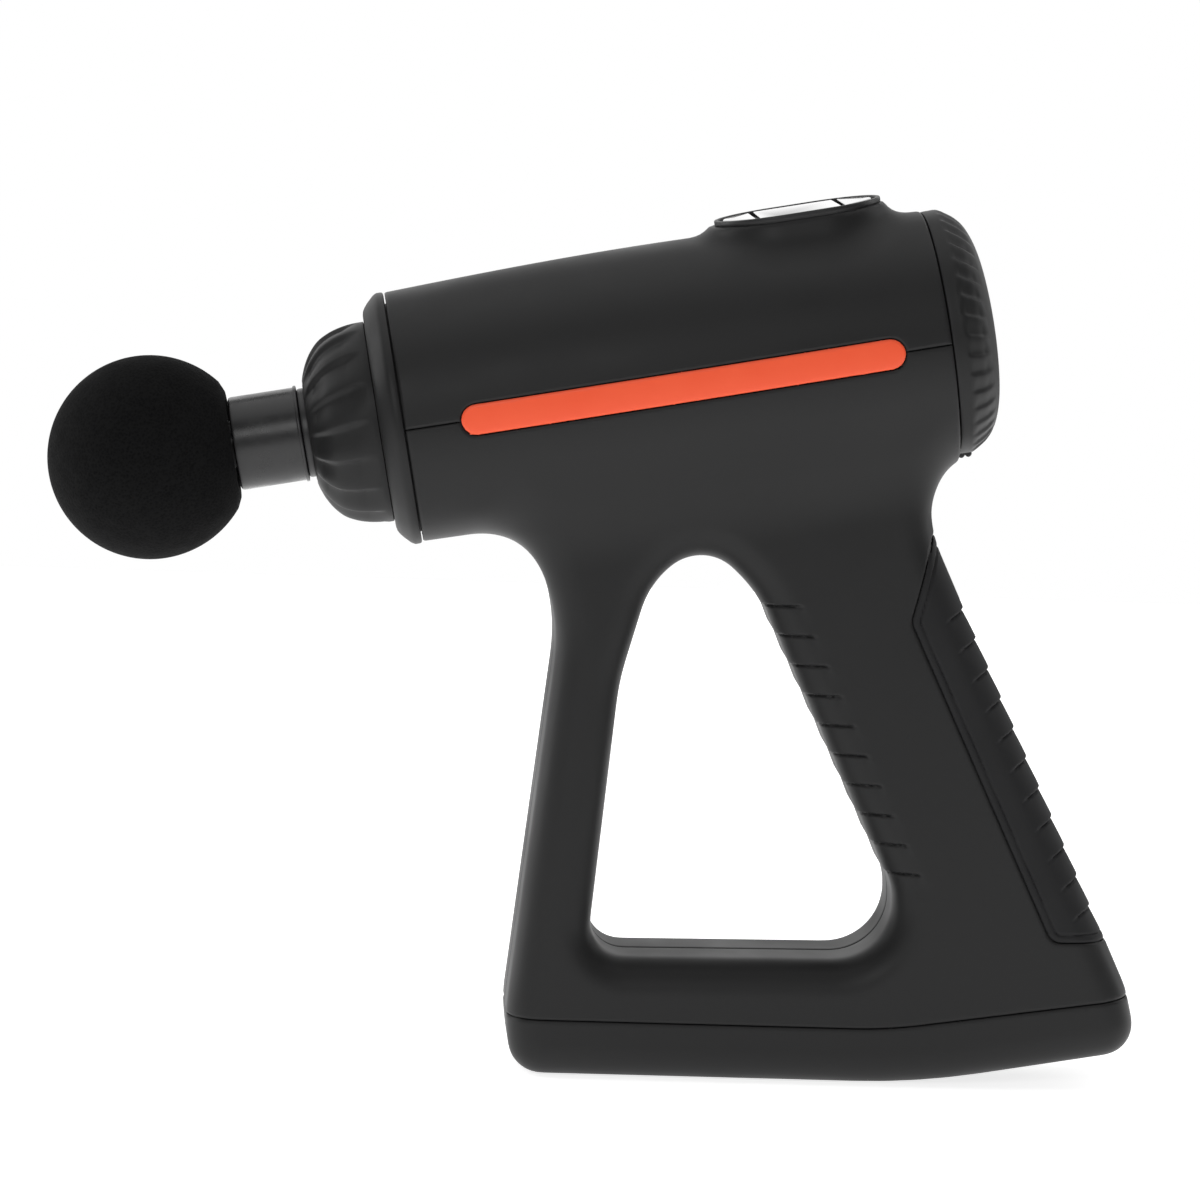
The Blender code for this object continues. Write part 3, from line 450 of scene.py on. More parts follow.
def smooth_profile(points, per_span):
    """A Catmull-Rom curve through profile points."""
    points = np.array(points, float)
    count = len(points)
    result = []
    for i in range(count - 1):
        p = [points[min(max(i + d, 0), count - 1)] for d in (-1, 0, 1, 2)]
        for k in range(per_span):
            t = k / per_span
            result.append(
                0.5
                * (
                    2 * p[1]
                    + (p[2] - p[0]) * t
                    + (2 * p[0] - 5 * p[1] + 4 * p[2] - p[3]) * t * t
                    + (3 * p[1] - p[0] - 3 * p[2] + p[3]) * t**3
                )
            )
    result.append(points[-1])
    return np.array(result)


# ---------------------------------------------------------------- materials


def new_material(name, colour, roughness, metallic=0.0, coat=0.0, sheen=0.0, specular=0.5):
    material = bpy.data.materials.new(name)
    material.use_nodes = True
    tree = material.node_tree
    shader = tree.nodes["Principled BSDF"]
    shader.inputs["Base Color"].default_value = (*colour, 1)
    shader.inputs["Roughness"].default_value = roughness
    shader.inputs["Metallic"].default_value = metallic
    shader.inputs["Coat Weight"].default_value = coat
    shader.inputs["Coat Roughness"].default_value = 0.06
    shader.inputs["Sheen Weight"].default_value = sheen
    shader.inputs["Sheen Roughness"].default_value = 0.45
    shader.inputs["Specular IOR Level"].default_value = specular
    return material, tree, shader


def add_noise(tree, scale, detail=4.0, roughness=0.55, stretch=(1, 1, 1)):
    place = tree.nodes.new("ShaderNodeTexCoord")
    mapping = tree.nodes.new("ShaderNodeMapping")
    mapping.inputs["Scale"].default_value = stretch
    noise = tree.nodes.new("ShaderNodeTexNoise")
    noise.inputs["Scale"].default_value = scale
    noise.inputs["Detail"].default_value = detail
    noise.inputs["Roughness"].default_value = roughness
    tree.links.new(place.outputs["Object"], mapping.inputs["Vector"])
    tree.links.new(mapping.outputs["Vector"], noise.inputs["Vector"])
    return noise.outputs["Fac"]


def vary(tree, factor, socket, low, high, start=0.3, end=0.7):
    """Drives a shader input from a texture between two values."""
    ramp = tree.nodes.new("ShaderNodeValToRGB")
    ramp.color_ramp.elements[0].position = start
    ramp.color_ramp.elements[1].position = end
    for element, value in zip(ramp.color_ramp.elements, (low, high)):
        element.color = (*value, 1) if isinstance(value, tuple) else (value, value, value, 1)
    tree.links.new(factor, ramp.inputs["Fac"])
    tree.links.new(ramp.outputs["Color"], socket)


def add_bump(tree, shader, *layers):
    """Layers of (height, strength, distance in metres)."""
    previous = None
    for height, strength, distance in layers:
        bump = tree.nodes.new("ShaderNodeBump")
        bump.inputs["Strength"].default_value = strength
        bump.inputs["Distance"].default_value = distance
        tree.links.new(height, bump.inputs["Height"])
        if previous is not None:
            tree.links.new(previous, bump.inputs["Normal"])
        previous = bump.outputs["Normal"]
    tree.links.new(previous, shader.inputs["Normal"])


def soft_touch():
    """Soft-touch lacquer over black ABS: velvety, with a very fine orange peel and faint handling marks."""
    material, tree, shader = new_material("soft_touch_black", (0.0125, 0.0125, 0.0128), 0.46, specular=0.28)
    broad = add_noise(tree, 38.0, 3.0)
    vary(tree, broad, shader.inputs["Roughness"], 0.44, 0.56)
    vary(tree, broad, shader.inputs["Base Color"], (0.0112, 0.0112, 0.0114), (0.0140, 0.0140, 0.0143))
    fine = add_noise(tree, 2600.0, 2.0)
    peel = add_noise(tree, 420.0, 2.0)
    add_bump(tree, shader, (fine, 0.10, 0.00004), (peel, 0.06, 0.00006))
    return material


def grip_rubber():
    material, tree, shader = new_material("grip_rubber", (0.0105, 0.0105, 0.0112), 0.6, specular=0.28)
    broad = add_noise(tree, 60.0, 4.0)
    vary(tree, broad, shader.inputs["Roughness"], 0.6, 0.74)
    vary(tree, broad, shader.inputs["Base Color"], (0.0094, 0.0094, 0.0101), (0.0118, 0.0118, 0.0125))
    add_bump(tree, shader, (add_noise(tree, 3800.0, 3.0), 0.22, 0.00006))
    return material


def orange_plastic():
    material, tree, shader = new_material("stripe_orange", (1.0, 0.115, 0.042), 0.42, specular=0.3)
    broad = add_noise(tree, 45.0, 3.0)
    vary(tree, broad, shader.inputs["Roughness"], 0.33, 0.43)
    vary(tree, broad, shader.inputs["Base Color"], (0.97, 0.108, 0.040), (1.0, 0.122, 0.046))
    add_bump(tree, shader, (add_noise(tree, 1500.0, 2.0), 0.05, 0.00004))
    return material


def gloss_black(name="panel_gloss", roughness=0.06):
    material, tree, shader = new_material(name, (0.005, 0.005, 0.006), roughness, coat=0.6)
    smear = add_noise(tree, 90.0, 5.0, stretch=(1, 2.2, 1))
    vary(tree, smear, shader.inputs["Roughness"], roughness, roughness + 0.09, 0.42, 0.75)
    vary(tree, smear, shader.inputs["Base Color"], (0.0045, 0.0045, 0.0055), (0.0065, 0.0065, 0.0075))
    return material


def stem_plastic():
    """Semi-gloss moulded plastic with cloudy wear from being pushed in and pulled out."""
    material, tree, shader = new_material("stem_gloss", (0.009, 0.009, 0.0094), 0.3)
    cloud = add_noise(tree, 160.0, 6.0, 0.6)
    vary(tree, cloud, shader.inputs["Roughness"], 0.24, 0.42, 0.35, 0.7)
    vary(tree, cloud, shader.inputs["Base Color"], (0.010, 0.010, 0.0105), (0.020, 0.020, 0.0205), 0.4, 0.75)
    scratches = add_noise(tree, 900.0, 3.0, stretch=(0.12, 1, 1))
    add_bump(tree, shader, (cloud, 0.08, 0.0001), (scratches, 0.08, 0.00004))
    return material


def foam():
    """Closed-cell foam: almost black, matt, with fine pores whose hollows are painted darker as painted
    shade.
    """
    material, tree, shader = new_material("ball_foam", (0.0045, 0.0045, 0.0047), 0.95, specular=0.1)
    place = tree.nodes.new("ShaderNodeTexCoord")
    pores = tree.nodes.new("ShaderNodeTexVoronoi")
    pores.inputs["Scale"].default_value = 1500.0
    tree.links.new(place.outputs["Object"], pores.inputs["Vector"])
    # painted shade: the colour darkens towards each pore's middle, where the bump below sinks the surface, so
    # the pore hollows carry painted shade
    dark, light = (0.0022, 0.0022, 0.0024), (0.0068, 0.0068, 0.0070)
    vary(tree, pores.outputs["Distance"], shader.inputs["Base Color"], dark, light, 0.1, 0.6)
    mottled = add_noise(tree, 240.0, 4.0)
    vary(tree, mottled, shader.inputs["Roughness"], 0.88, 1.0)
    add_bump(tree, shader, (pores.outputs["Distance"], 0.5, 0.00018), (mottled, 0.2, 0.0002))
    return material


def metal(name, colour, roughness, scale=260.0, stretch=(1, 1, 1)):
    material, tree, shader = new_material(name, colour, roughness, metallic=1.0)
    grain = add_noise(tree, scale, 4.0, stretch=stretch)
    vary(tree, grain, shader.inputs["Roughness"], roughness * 0.8, roughness * 1.25)
    darker = tuple(c * 0.88 for c in colour)
    vary(tree, grain, shader.inputs["Base Color"], darker, colour)
    add_bump(tree, shader, (grain, 0.1, 0.00005))
    return material


def plain(name, colour, roughness):
    material, tree, shader = new_material(name, colour, roughness)
    grain = add_noise(tree, 120.0, 3.0)
    vary(tree, grain, shader.inputs["Roughness"], roughness * 0.88, roughness * 1.1)
    vary(tree, grain, shader.inputs["Base Color"], tuple(c * 0.9 for c in colour), colour)
    add_bump(tree, shader, (add_noise(tree, 1600.0, 2.0), 0.1, 0.00005))
    return material


MATERIALS = {
    "soft_touch_black": soft_touch(),
    "grip_rubber": grip_rubber(),
    "stripe_orange": orange_plastic(),
    "panel_glass": gloss_black(),
    "key_gloss": gloss_black("key_gloss", 0.09),
    "bezel_satin": plain("bezel_satin", (0.010, 0.010, 0.0105), 0.5),
    "stem_gloss": stem_plastic(),
    "ball_foam": foam(),
    "circuit_board": plain("circuit_board", (0.02, 0.12, 0.06), 0.4),
    "cell_wrap": plain("cell_wrap", (0.05, 0.20, 0.45), 0.3),
    "grey_plastic": plain("grey_plastic", (0.20, 0.20, 0.21), 0.5),
    "sleeve_plastic": plain("sleeve_plastic", (0.70, 0.70, 0.67), 0.35),
    "cast_aluminium": metal("cast_aluminium", (0.62, 0.63, 0.65), 0.38),
    "stator_copper": metal("stator_copper", (0.70, 0.36, 0.18), 0.35, 700.0, (1, 6, 1)),
    "steel": metal("steel", (0.56, 0.56, 0.58), 0.25, 500.0, (1, 4, 1)),
    "black_steel": metal("black_steel", (0.045, 0.045, 0.047), 0.42, 500.0),
    "damper_rubber": plain("damper_rubber", (0.02, 0.02, 0.02), 0.8),
    "switch_plastic": plain("switch_plastic", (0.015, 0.015, 0.016), 0.38),
}


def finish_piece(obj, slot, body="housing", replaces=()):
    """Gives a piece its material, its body, and the CAD nodes that it stands for."""
    obj.data.materials.clear()
    obj.data.materials.append(MATERIALS[slot])
    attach(obj, body)
    if replaces:
        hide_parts(*replaces)
    return obj


# ---------------------------------------------------------------- housing


BASE_SEAM_HEIGHT = 15.0
BASE_SEAM_BEND = (66.0, 18.0)  # where the bend starts, and its length
BASE_SEAM_SLOPE = 0.152


def seam_height(x):
    """Height of the base seam: level at the front, rising towards the back in one soft bend."""
    start, bend = BASE_SEAM_BEND
    rise = np.maximum(x - start, 0)
    climb = np.where(rise < bend, rise**2 / (2 * bend), rise - bend / 2)
    return BASE_SEAM_HEIGHT + climb * BASE_SEAM_SLOPE


def stripe_distance(points):
    s, n = barrel_coordinates(points[:, 0], points[:, 2])
    middle = (STRIPE[0] + STRIPE[1]) / 2
    return stadium_distance(s - middle, n, STRIPE[1] - STRIPE[0], STRIPE[2])


def pad_distance(points):
    return polygon_distance(pad_outline, points[:, 0], points[:, 2])


JACK_PLACE = np.array([124.84, 0.0, 7.27])
JACK_TILT = math.atan2(10.0, 54.8)
JACK_AXIS = np.array([-math.sin(JACK_TILT), 0.0, math.cos(JACK_TILT)])
JACK_HOLE = 4.15
JACK_SIDE = 13  # below this height is the underside
SCREW_HOLE = 2.85
SCREW_SIDE = 5  # past this is the right half
SCREW_NODES = [f"shell_screw_{k}" for k in range(1, 6)]
MIDDLE_TOP = 1.5  # the middle seam ends this far above the parting line
FAR = 50.0


def node_centre(name):
    low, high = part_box(name)
    return (np.array(low) + np.array(high)) / 2 / MM - SHIFT


def far_from(points, active, value):
    """Keeps a cut to where it belongs: elsewhere its distance is large."""
    return np.where(active, value, FAR)


def near_barrel(points, value):
    return far_from(points, height_over_axis(points) > BARREL_REACH, value)


def along_axis(points):
    return barrel_coordinates(points[:, 0], points[:, 2])[0]


def height_over_axis(points):
    return barrel_coordinates(points[:, 0], points[:, 2])[1]


def round_hole(points, name):
    """Distance to the hole of a shell screw, on its own side of the handle."""
    x, _, z = node_centre(name)
    radial = np.hypot(points[:, 0] - x, points[:, 2] - z) - SCREW_HOLE
    return far_from(points, points[:, 1] > SCREW_SIDE, radial)


def jack_hole(points):
    radial = np.linalg.norm(np.cross(points - JACK_PLACE, JACK_AXIS), axis=1) - JACK_HOLE
    return far_from(points, points[:, 2] < JACK_SIDE, radial)


def cuts():
    """Named signed distances whose zero lines are the seams in the skin."""
    found = {
        "front": lambda p: near_barrel(p, along_axis(p)),
        "rear": lambda p: near_barrel(p, LENGTH - along_axis(p)),
        "part": height_over_axis,
        "middle": lambda p: far_from(p, height_over_axis(p) < MIDDLE_TOP, p[:, 1]),
        "base": lambda p: p[:, 2] - seam_height(p[:, 0]),
        "stripe": stripe_distance,
        "pad": pad_distance,
        "jack": jack_hole,
    }
    for name in SCREW_NODES:
        found[name] = lambda p, name=name: round_hole(p, name)
    return found


# Grooves of the grip and the fine line inside the pad's rim
GROOVE_HALF = 0.72
GROOVE_DEPTH = 1.0
SCALE_DEPTH = 0.55
GROOVE_START = -1.6
PAD_LINE_INSET = 2.0
PAD_LINE_HALF = 0.42
PAD_LINE_DEPTH = 0.42
PAD_FOOT = 20


def groove_sets():
    """Both rows of grooves: first point, step to the next, run inwards, count, and how fast they fade out."""
    rows = []
    for (first, last, count), run, reach in (
        (FINGER_GROOVES, FINGER_GROOVE_RUN, 4.5),
        (THUMB_GROOVES, THUMB_GROOVE_RUN, 1.6),
    ):
        step = (np.array(last) - first) / (count - 1)
        rows.append((np.array(first), step, np.array(run, float), count, reach))
    return rows


def groove_grid(points, first, step, run):
    """How many grooves down the row a point is, how far along the run, and the grooves' spacing."""
    inverse = np.linalg.inv(np.array([step, run]).T)
    offset = np.stack([points[:, 0] - first[0], points[:, 2] - first[1]])
    spacing = abs(step[0] * run[1] - step[1] * run[0]) / np.linalg.norm(run)
    return (*(inverse @ offset), spacing)


def groove_depth(points):
    """How far the skin sinks: grooves across the grip, and scales between them."""
    depth = np.zeros(len(points))
    for first, step, run, count, reach in groove_sets():
        down, along, spacing = groove_grid(points, first, step, run)
        nearest = np.clip(np.round(down), 0, count - 1)
        sag = 0.10 * np.clip(along - 0.2, 0, 1) ** 2
        hollow = np.clip(1 - np.abs(down - nearest - sag) * spacing / GROOVE_HALF, 0, 1)
        hollow = hollow * hollow * (3 - 2 * hollow)
        fade = np.clip((1.0 - along) * reach, 0, 1) * (along > GROOVE_START)
        fade = fade * fade * (3 - 2 * fade)
        phase = down - sag - np.floor(down - sag)
        scale = np.where((down > 0) & (down < count - 0.2), (1 - phase) ** 1.4, 0)
        depth = np.maximum(depth, fade * np.maximum(GROOVE_DEPTH * hollow, SCALE_DEPTH * scale))
    to_pad = pad_distance(points)
    line = np.clip(1 - np.abs(to_pad + PAD_LINE_INSET) / PAD_LINE_HALF, 0, 1)
    on_grip = (np.abs(to_pad) < 4) & (points[:, 2] > PAD_FOOT)
    return depth + np.where(on_grip, PAD_LINE_DEPTH * line * line * (3 - 2 * line), 0)


def refine(bm, choose, cuts_per_edge):
    """Subdivides the faces whose middle the function picks."""
    centres = np.array([face.calc_center_median()[:] for face in bm.faces])
    picked = choose(centres)
    faces = [face for face, wanted in zip(bm.faces, picked) if wanted]
    edges = list({edge for face in faces for edge in face.edges})
    bmesh.ops.subdivide_edges(bm, edges=edges, cuts=cuts_per_edge, use_grid_fill=True)


def near_grooves(points):
    """Where the skin needs finer faces."""
    near = np.zeros(len(points), bool)
    for first, step, run, count, _ in groove_sets():
        down, along, spacing = groove_grid(points, first, step, run)
        close = np.abs(down - np.clip(np.round(down), 0, count - 1)) * spacing < 2.2
        near |= close & (along > GROOVE_START) & (along < 1.25)
    pad_line = (np.abs(pad_distance(points) + PAD_LINE_INSET) < 1.3) & (points[:, 2] > PAD_FOOT)
    return near | pad_line


SEAM_LEVELS = (0.16, 0.40, 0.85)
SEAM_DROP = 0.32
SKIN_LOW = (-62.0, -37.0, -3.0)
SKIN_HIGH = (143.0, 37.0, 231.0)
SKIN_STEP = 1.15


def housing_skin():
    """The whole skin with its grooves and rounded seam edges, and the distances that its seams follow."""
    step = SKIN_STEP
    points, quads = surface_net(body_form, SKIN_LOW, SKIN_HIGH, step)
    points = relax(body_form, points, quads)
    bm = new_bmesh(points, quads.tolist())
    refine(bm, near_grooves, 2)
    place_points(bm, settle(body_form, coordinates(bm), 2))
    seams = cuts()
    for name, distance in seams.items():
        for level in SEAM_LEVELS:
            split_at(bm, lambda p, d=distance, v=level: d(p) - v)
            if name not in ("front", "rear"):
                split_at(bm, lambda p, d=distance, v=level: d(p) + v)
    points = coordinates(bm)
    slope = gradient(body_form, points)
    slope /= np.linalg.norm(slope, axis=1, keepdims=True)
    drop = groove_depth(points)
    on_stripe = stripe_distance(points) < 0
    one_piece = (seams["pad"](points) < 0) | (seams["base"](points) < 0)
    for name, distance in seams.items():
        beyond = (np.abs(distance(points)) - HALF_GAP) / (SEAM_LEVELS[-1] - HALF_GAP)
        close = np.clip(1 - beyond, 0, 1)
        if name in ("part", "middle"):
            close[on_stripe] = 0
        if name == "middle":
            close[one_piece] = 0
        drop = np.maximum(drop, SEAM_DROP * close**2.5)
    place_points(bm, points - slope * drop[:, None])
    return bm, seams


def drop_islands(bm, fewest=60):
    """Removes scraps of skin left between the cuts."""
    seen = set()
    scraps = []
    for start in bm.faces:
        if start in seen:
            continue
        seen.add(start)
        island = [start]
        for face in island:
            for edge in face.edges:
                for other in edge.link_faces:
                    if other not in seen:
                        seen.add(other)
                        island.append(other)
        if len(island) < fewest:
            scraps += island
    bmesh.ops.delete(bm, geom=scraps, context="FACES")


TONGUE_DEPTH = 1.25
TONGUE_THICKNESS = 0.8


def seam_tongues(bm, values, kept):
    """Ribs behind the seams, where one moulding's tongue sits in the other's groove and stops the light."""
    near = np.zeros(len(kept), bool)
    for name in ("part", "middle", "base", "stripe", "pad"):
        near |= np.abs(values[name]) < SEAM_LEVELS[-1]
    ribs = bm.copy()
    ribs.faces.ensure_lookup_table()
    dropped = [ribs.faces[i] for i in np.flatnonzero(~(near & kept))]
    bmesh.ops.delete(ribs, geom=dropped, context="FACES")
    bmesh.ops.dissolve_degenerate(ribs, edges=ribs.edges, dist=0.02)
    drop_islands(ribs)
    ribs.normal_update()
    for vert, normal in [(vert, vert.normal.copy()) for vert in ribs.verts]:
        vert.co -= normal * TONGUE_DEPTH
    obj = as_object("seam_tongues", ribs)
    add_wall(obj, TONGUE_THICKNESS)
    finish_piece(obj, "soft_touch_black", "housing")


def add_wall(obj, thickness):
    """Turns a skin into a closed moulding of the given wall thickness."""
    solid = obj.modifiers.new("wall", "SOLIDIFY")
    solid.thickness = thickness * MM
    solid.offset = -1
    solid.use_even_offset = False
    applied(obj)
    obj.data.shade_smooth()
    obj.data.set_sharp_from_angle(angle=math.radians(50))


INLAY = 1.1


def shell_pieces():
    """Cuts the skin into its mouldings, and gives each its wall."""
    bm, seams = housing_skin()
    centres = np.array([face.calc_center_median()[:] for face in bm.faces])
    values = {name: distance(centres) for name, distance in seams.items()}
    kept = (values["front"] > HALF_GAP) & (values["rear"] > HALF_GAP)
    holes = values["jack"] > -HALF_GAP
    for name in SCREW_NODES:
        holes &= values[name] > -HALF_GAP
    kept &= holes
    off_stripe = values["stripe"] > HALF_GAP
    on_stripe = values["stripe"] < -HALF_GAP
    side = values["middle"]
    above = (values["part"] > HALF_GAP) & off_stripe
    below = (values["part"] < -HALF_GAP) & off_stripe & (values["base"] > HALF_GAP)
    shell = below & (values["pad"] > HALF_GAP) & kept
    base = (values["base"] < -HALF_GAP) & kept
    pad = below & (values["pad"] < -HALF_GAP)
    black = "soft_touch_black"
    pieces = (
        ("top_shell_moulding", above & kept, black, "top_shell", WALL),
        ("left_shell_moulding", shell & (side < -HALF_GAP), black, "left_shell", WALL),
        ("right_shell_moulding", shell & (side > HALF_GAP), black, "right_shell", WALL),
        ("base_cover_moulding", base, black, "base_cover", WALL),
        ("rear_grip_pad_moulding", pad, "grip_rubber", "rear_grip_pad", WALL),
        ("stripe_left_inlay", on_stripe & (centres[:, 1] < 0), "stripe_orange", "stripe_left", INLAY),
        ("stripe_right_inlay", on_stripe & (centres[:, 1] > 0), "stripe_orange", "stripe_right", INLAY),
    )
    seam_tongues(bm, values, kept)
    for name, chosen, slot, node, wall in pieces:
        part = bm.copy()
        part.faces.ensure_lookup_table()
        dropped = [part.faces[i] for i in np.flatnonzero(~chosen)]
        bmesh.ops.delete(part, geom=dropped, context="FACES")
        bmesh.ops.dissolve_degenerate(part, edges=part.edges, dist=0.02)
        drop_islands(part)
        obj = as_object(name, part)
        add_wall(obj, wall)
        finish_piece(obj, slot, "housing", (node,))
    bm.free()


# ---------------------------------------------------------------- nose, cap and panel


def front_collar():
    profile = [
        (1.6, 25.2), (1.6, 28.5), (-HALF_GAP - 0.05, 28.6), (-HALF_GAP, 31.0), (-0.35, 31.35),
        (-0.8, 31.5), (-1.8, 31.5), (-2.3, 31.3), (-2.9, 30.9), (-4.5, 29.3), (-5.3, 28.3),
        (-5.75, 27.5), (-5.95, 26.6), (-5.95, 25.7), (-5.8, 25.35), (-5.4, 25.2),
    ]
    obj = lathe("front_collar_ring", profile, 160)
    return finish_piece(obj, "soft_touch_black", "housing", ("front_collar",))


FLUTES = 17


def nose_dome():
    """A dome with swirling flutes that sweep round as they run towards the front opening."""
    outside = [(-6.2, 25.0), (-9.0, 24.95), (-12.0, 24.5), (-15.0, 23.6), (-18.0, 22.0)]
    outside += [(-20.3, 19.6), (-21.9, 17.0), (-22.9, 14.6), (-23.4, 12.9)]
    outside = smooth_profile(outside, 8)
    lip = [(-23.4, 12.2), (-23.1, 11.8), (-22.4, 11.75)]
    inside = [(-21.2, 12.6), (-20.0, 16.4), (-17.2, 19.9), (-12.0, 22.2), (-4.0, 22.4), (2.8, 22.4)]
    rear = [(2.8, 24.5), (-6.0, 24.5)]
    profile = list(map(tuple, outside)) + lip + inside + rear
    count = len(outside)

    def fluted(s, r, theta, ring):
        along = np.clip((-s - 7.5) / 15.5, 0, 1)
        swirl = theta * FLUTES + 1.7 * along**1.1
        phase = (swirl / (2 * math.pi)) % 1.0
        ridge = np.minimum(phase / 0.22, (1 - phase) / 0.78)
        ridge = ridge * ridge * (3 - 2 * ridge)
        fade = np.clip(along / 0.3, 0, 1) * np.clip((1.02 - along) / 0.12, 0, 1)
        depth = 1.15 * fade * (1 - ridge)
        outer = ring < count
        forward = np.where(outer, depth * along * 0.8, 0)
        inward = np.where(outer, depth * (1 - 0.55 * along), 0)
        return s + forward, r - inward

    obj = lathe("nose_dome_fluted", profile, FLUTES * 36, fluted)
    return finish_piece(obj, "soft_touch_black", "housing", ("nose_dome",))


CAP_FLUTES = 38


def rear_cap():
    """Rounded end cap with short slanting flutes round its rim."""
    start = LENGTH + HALF_GAP
    outside = [(start, 30.2), (start + 0.35, 30.45), (start + 2.0, 30.5), (start + 3.9, 30.45)]
    outside += [(start + 5.6, 29.5), (start + 7.4, 28.2), (start + 9.2, 26.2), (start + 10.6, 23.4)]
    outside += [(start + 11.6, 20.0), (start + 12.3, 15.5), (start + 12.8, 10.0), (start + 13.1, 5.0)]
    outside += [(start + 13.2, 0.0)]
    outside = smooth_profile(outside, 7)
    inside = [(start + 11.2, 0.0), (start + 10.8, 10.0), (start + 9.4, 19.0), (start + 6.6, 25.6)]
    inside += [(start + 3.0, 27.8), (start - 4.0, 26.6), (start - 4.4, 27.2), (start - 4.0, 28.0)]
    inside += [(start - 0.2, 28.2), (start - 0.1, 29.6)]
    profile = inside + list(map(tuple, outside))
    first = len(inside)

    def fluted(s, r, theta, ring):
        along = np.clip((s - start - 3.0) / 6.8, 0, 1)
        swirl = theta * CAP_FLUTES + 2.2 * along
        phase = (swirl / (2 * math.pi)) % 1.0
        ridge = np.minimum(phase / 0.75, (1 - phase) / 0.25)
        ridge = ridge * ridge * (3 - 2 * ridge)
        fade = np.clip(along / 0.22, 0, 1) * np.clip((1 - along) / 0.25, 0, 1)
        depth = np.where(ring >= first, 0.55 * fade * (1 - ridge), 0)
        return s - depth * along * 0.7, r - depth * (1 - 0.5 * along)

    lift = float(barrel_lift(np.array([LENGTH]))[0])
    obj = lathe("rear_cap_fluted", profile, CAP_FLUTES * 18, fluted, (0.0, lift))
    return finish_piece(obj, "soft_touch_black", "housing", ("rear_cap",))


def stadium_outline(length, width, count=24):
    radius = width / 2
    reach = length / 2 - radius
    points = []
    for centre, first in ((reach, -math.pi / 2), (-reach, math.pi / 2)):
        for k in range(count + 1):
            angle = first + math.pi * k / count
            points.append((centre + radius * math.cos(angle), radius * math.sin(angle)))
    return points


def loft(name, rings):
    """A body through outlines of (s, y, n) points, capped at both ends."""
    count = len(rings[0])
    points = barrel_to_design(np.concatenate([np.array(ring, float) for ring in rings]))
    faces = []
    for i in range(len(rings) - 1):
        j = i + 1
        for k in range(count):
            m = (k + 1) % count
            faces.append((i * count + k, i * count + m, j * count + m, j * count + k))
    faces.append(tuple(range(count))[::-1])
    faces.append(tuple(range((len(rings) - 1) * count, len(rings) * count)))
    bm = new_bmesh(points, faces)
    bmesh.ops.recalc_face_normals(bm, faces=bm.faces)
    return as_object(name, bm)


def panel_rings(levels, length, width):
    """Stadium outlines round the panel's centre, each grown by its level's amount and at its height."""
    rings = []
    for grow, n in levels:
        outline = stadium_outline(length + 2 * grow, width + 2 * grow)
        rings.append([(PANEL_CENTRE + u, v, n) for u, v in outline])
    return rings


# The keys stand clear of the tray by more than they travel.
KEY_DEPTH = 1.3
KEY_LIFT = 0.68


def touch_panel():
    """Oval tray with a raised rim, and in it a long display window between two half-round keys."""
    top = PEDESTAL_TOP + 1.35
    tray = top - KEY_DEPTH
    levels = (
        (-0.5, PEDESTAL_TOP - 1.0),
        (-0.1, PEDESTAL_TOP + 0.1),
        (0.0, PEDESTAL_TOP + 0.25),
        (0.0, top - 0.25),
        (-0.12, top - 0.06),
        (-0.3, top),
        (-0.85, top),
        (-1.0, top - 0.06),
        (-1.1, top - 0.2),
        (-1.15, tray),
    )
    rim = loft("panel_bezel_rim", panel_rings(levels, PANEL_LENGTH, PANEL_WIDTH))
    finish_piece(rim, "bezel_satin", "housing", ("panel_bezel",))

    glass = (PANEL_LENGTH - 4.4, PANEL_WIDTH - 4.4)
    key_edge = PANEL_LENGTH / 2 - 10.2
    face = top - 0.12

    def tile(name, low, high, slot, body, node, lift=0.02):
        rings = []
        for grow, n in ((0.0, tray + lift), (0.0, face - 0.22), (-0.12, face - 0.06), (-0.32, face)):
            outline = stadium_outline(glass[0] + 2 * grow, glass[1] + 2 * grow, 40)
            inner = [(min(max(u, low - grow), high + grow), v) for u, v in outline]
            rings.append([(PANEL_CENTRE + u, v, n) for u, v in inner])
        obj = loft(name, rings)
        bm = bmesh.new()
        bm.from_mesh(obj.data)
        bmesh.ops.remove_doubles(bm, verts=bm.verts, dist=2e-6)
        bmesh.ops.dissolve_degenerate(bm, edges=bm.edges, dist=1e-6)
        bm.to_mesh(obj.data)
        bm.free()
        finish_piece(obj, slot, body, (node,))

    tile("display_window", -key_edge + 0.55, key_edge - 0.55, "panel_glass", "housing", "display_lens")
    half = glass[0] / 2
    tile("front_key_cap", -half, -key_edge - 0.55, "key_gloss", "front_key", "key_front", KEY_LIFT)
    tile("rear_key_cap", key_edge + 0.55, half, "key_gloss", "rear_key", "key_rear", KEY_LIFT)


BALL_RADIUS = 25.3
BALL_MIDDLE = -63.5
BALL_STEPS = 72
STEM_FRONT = -42.3


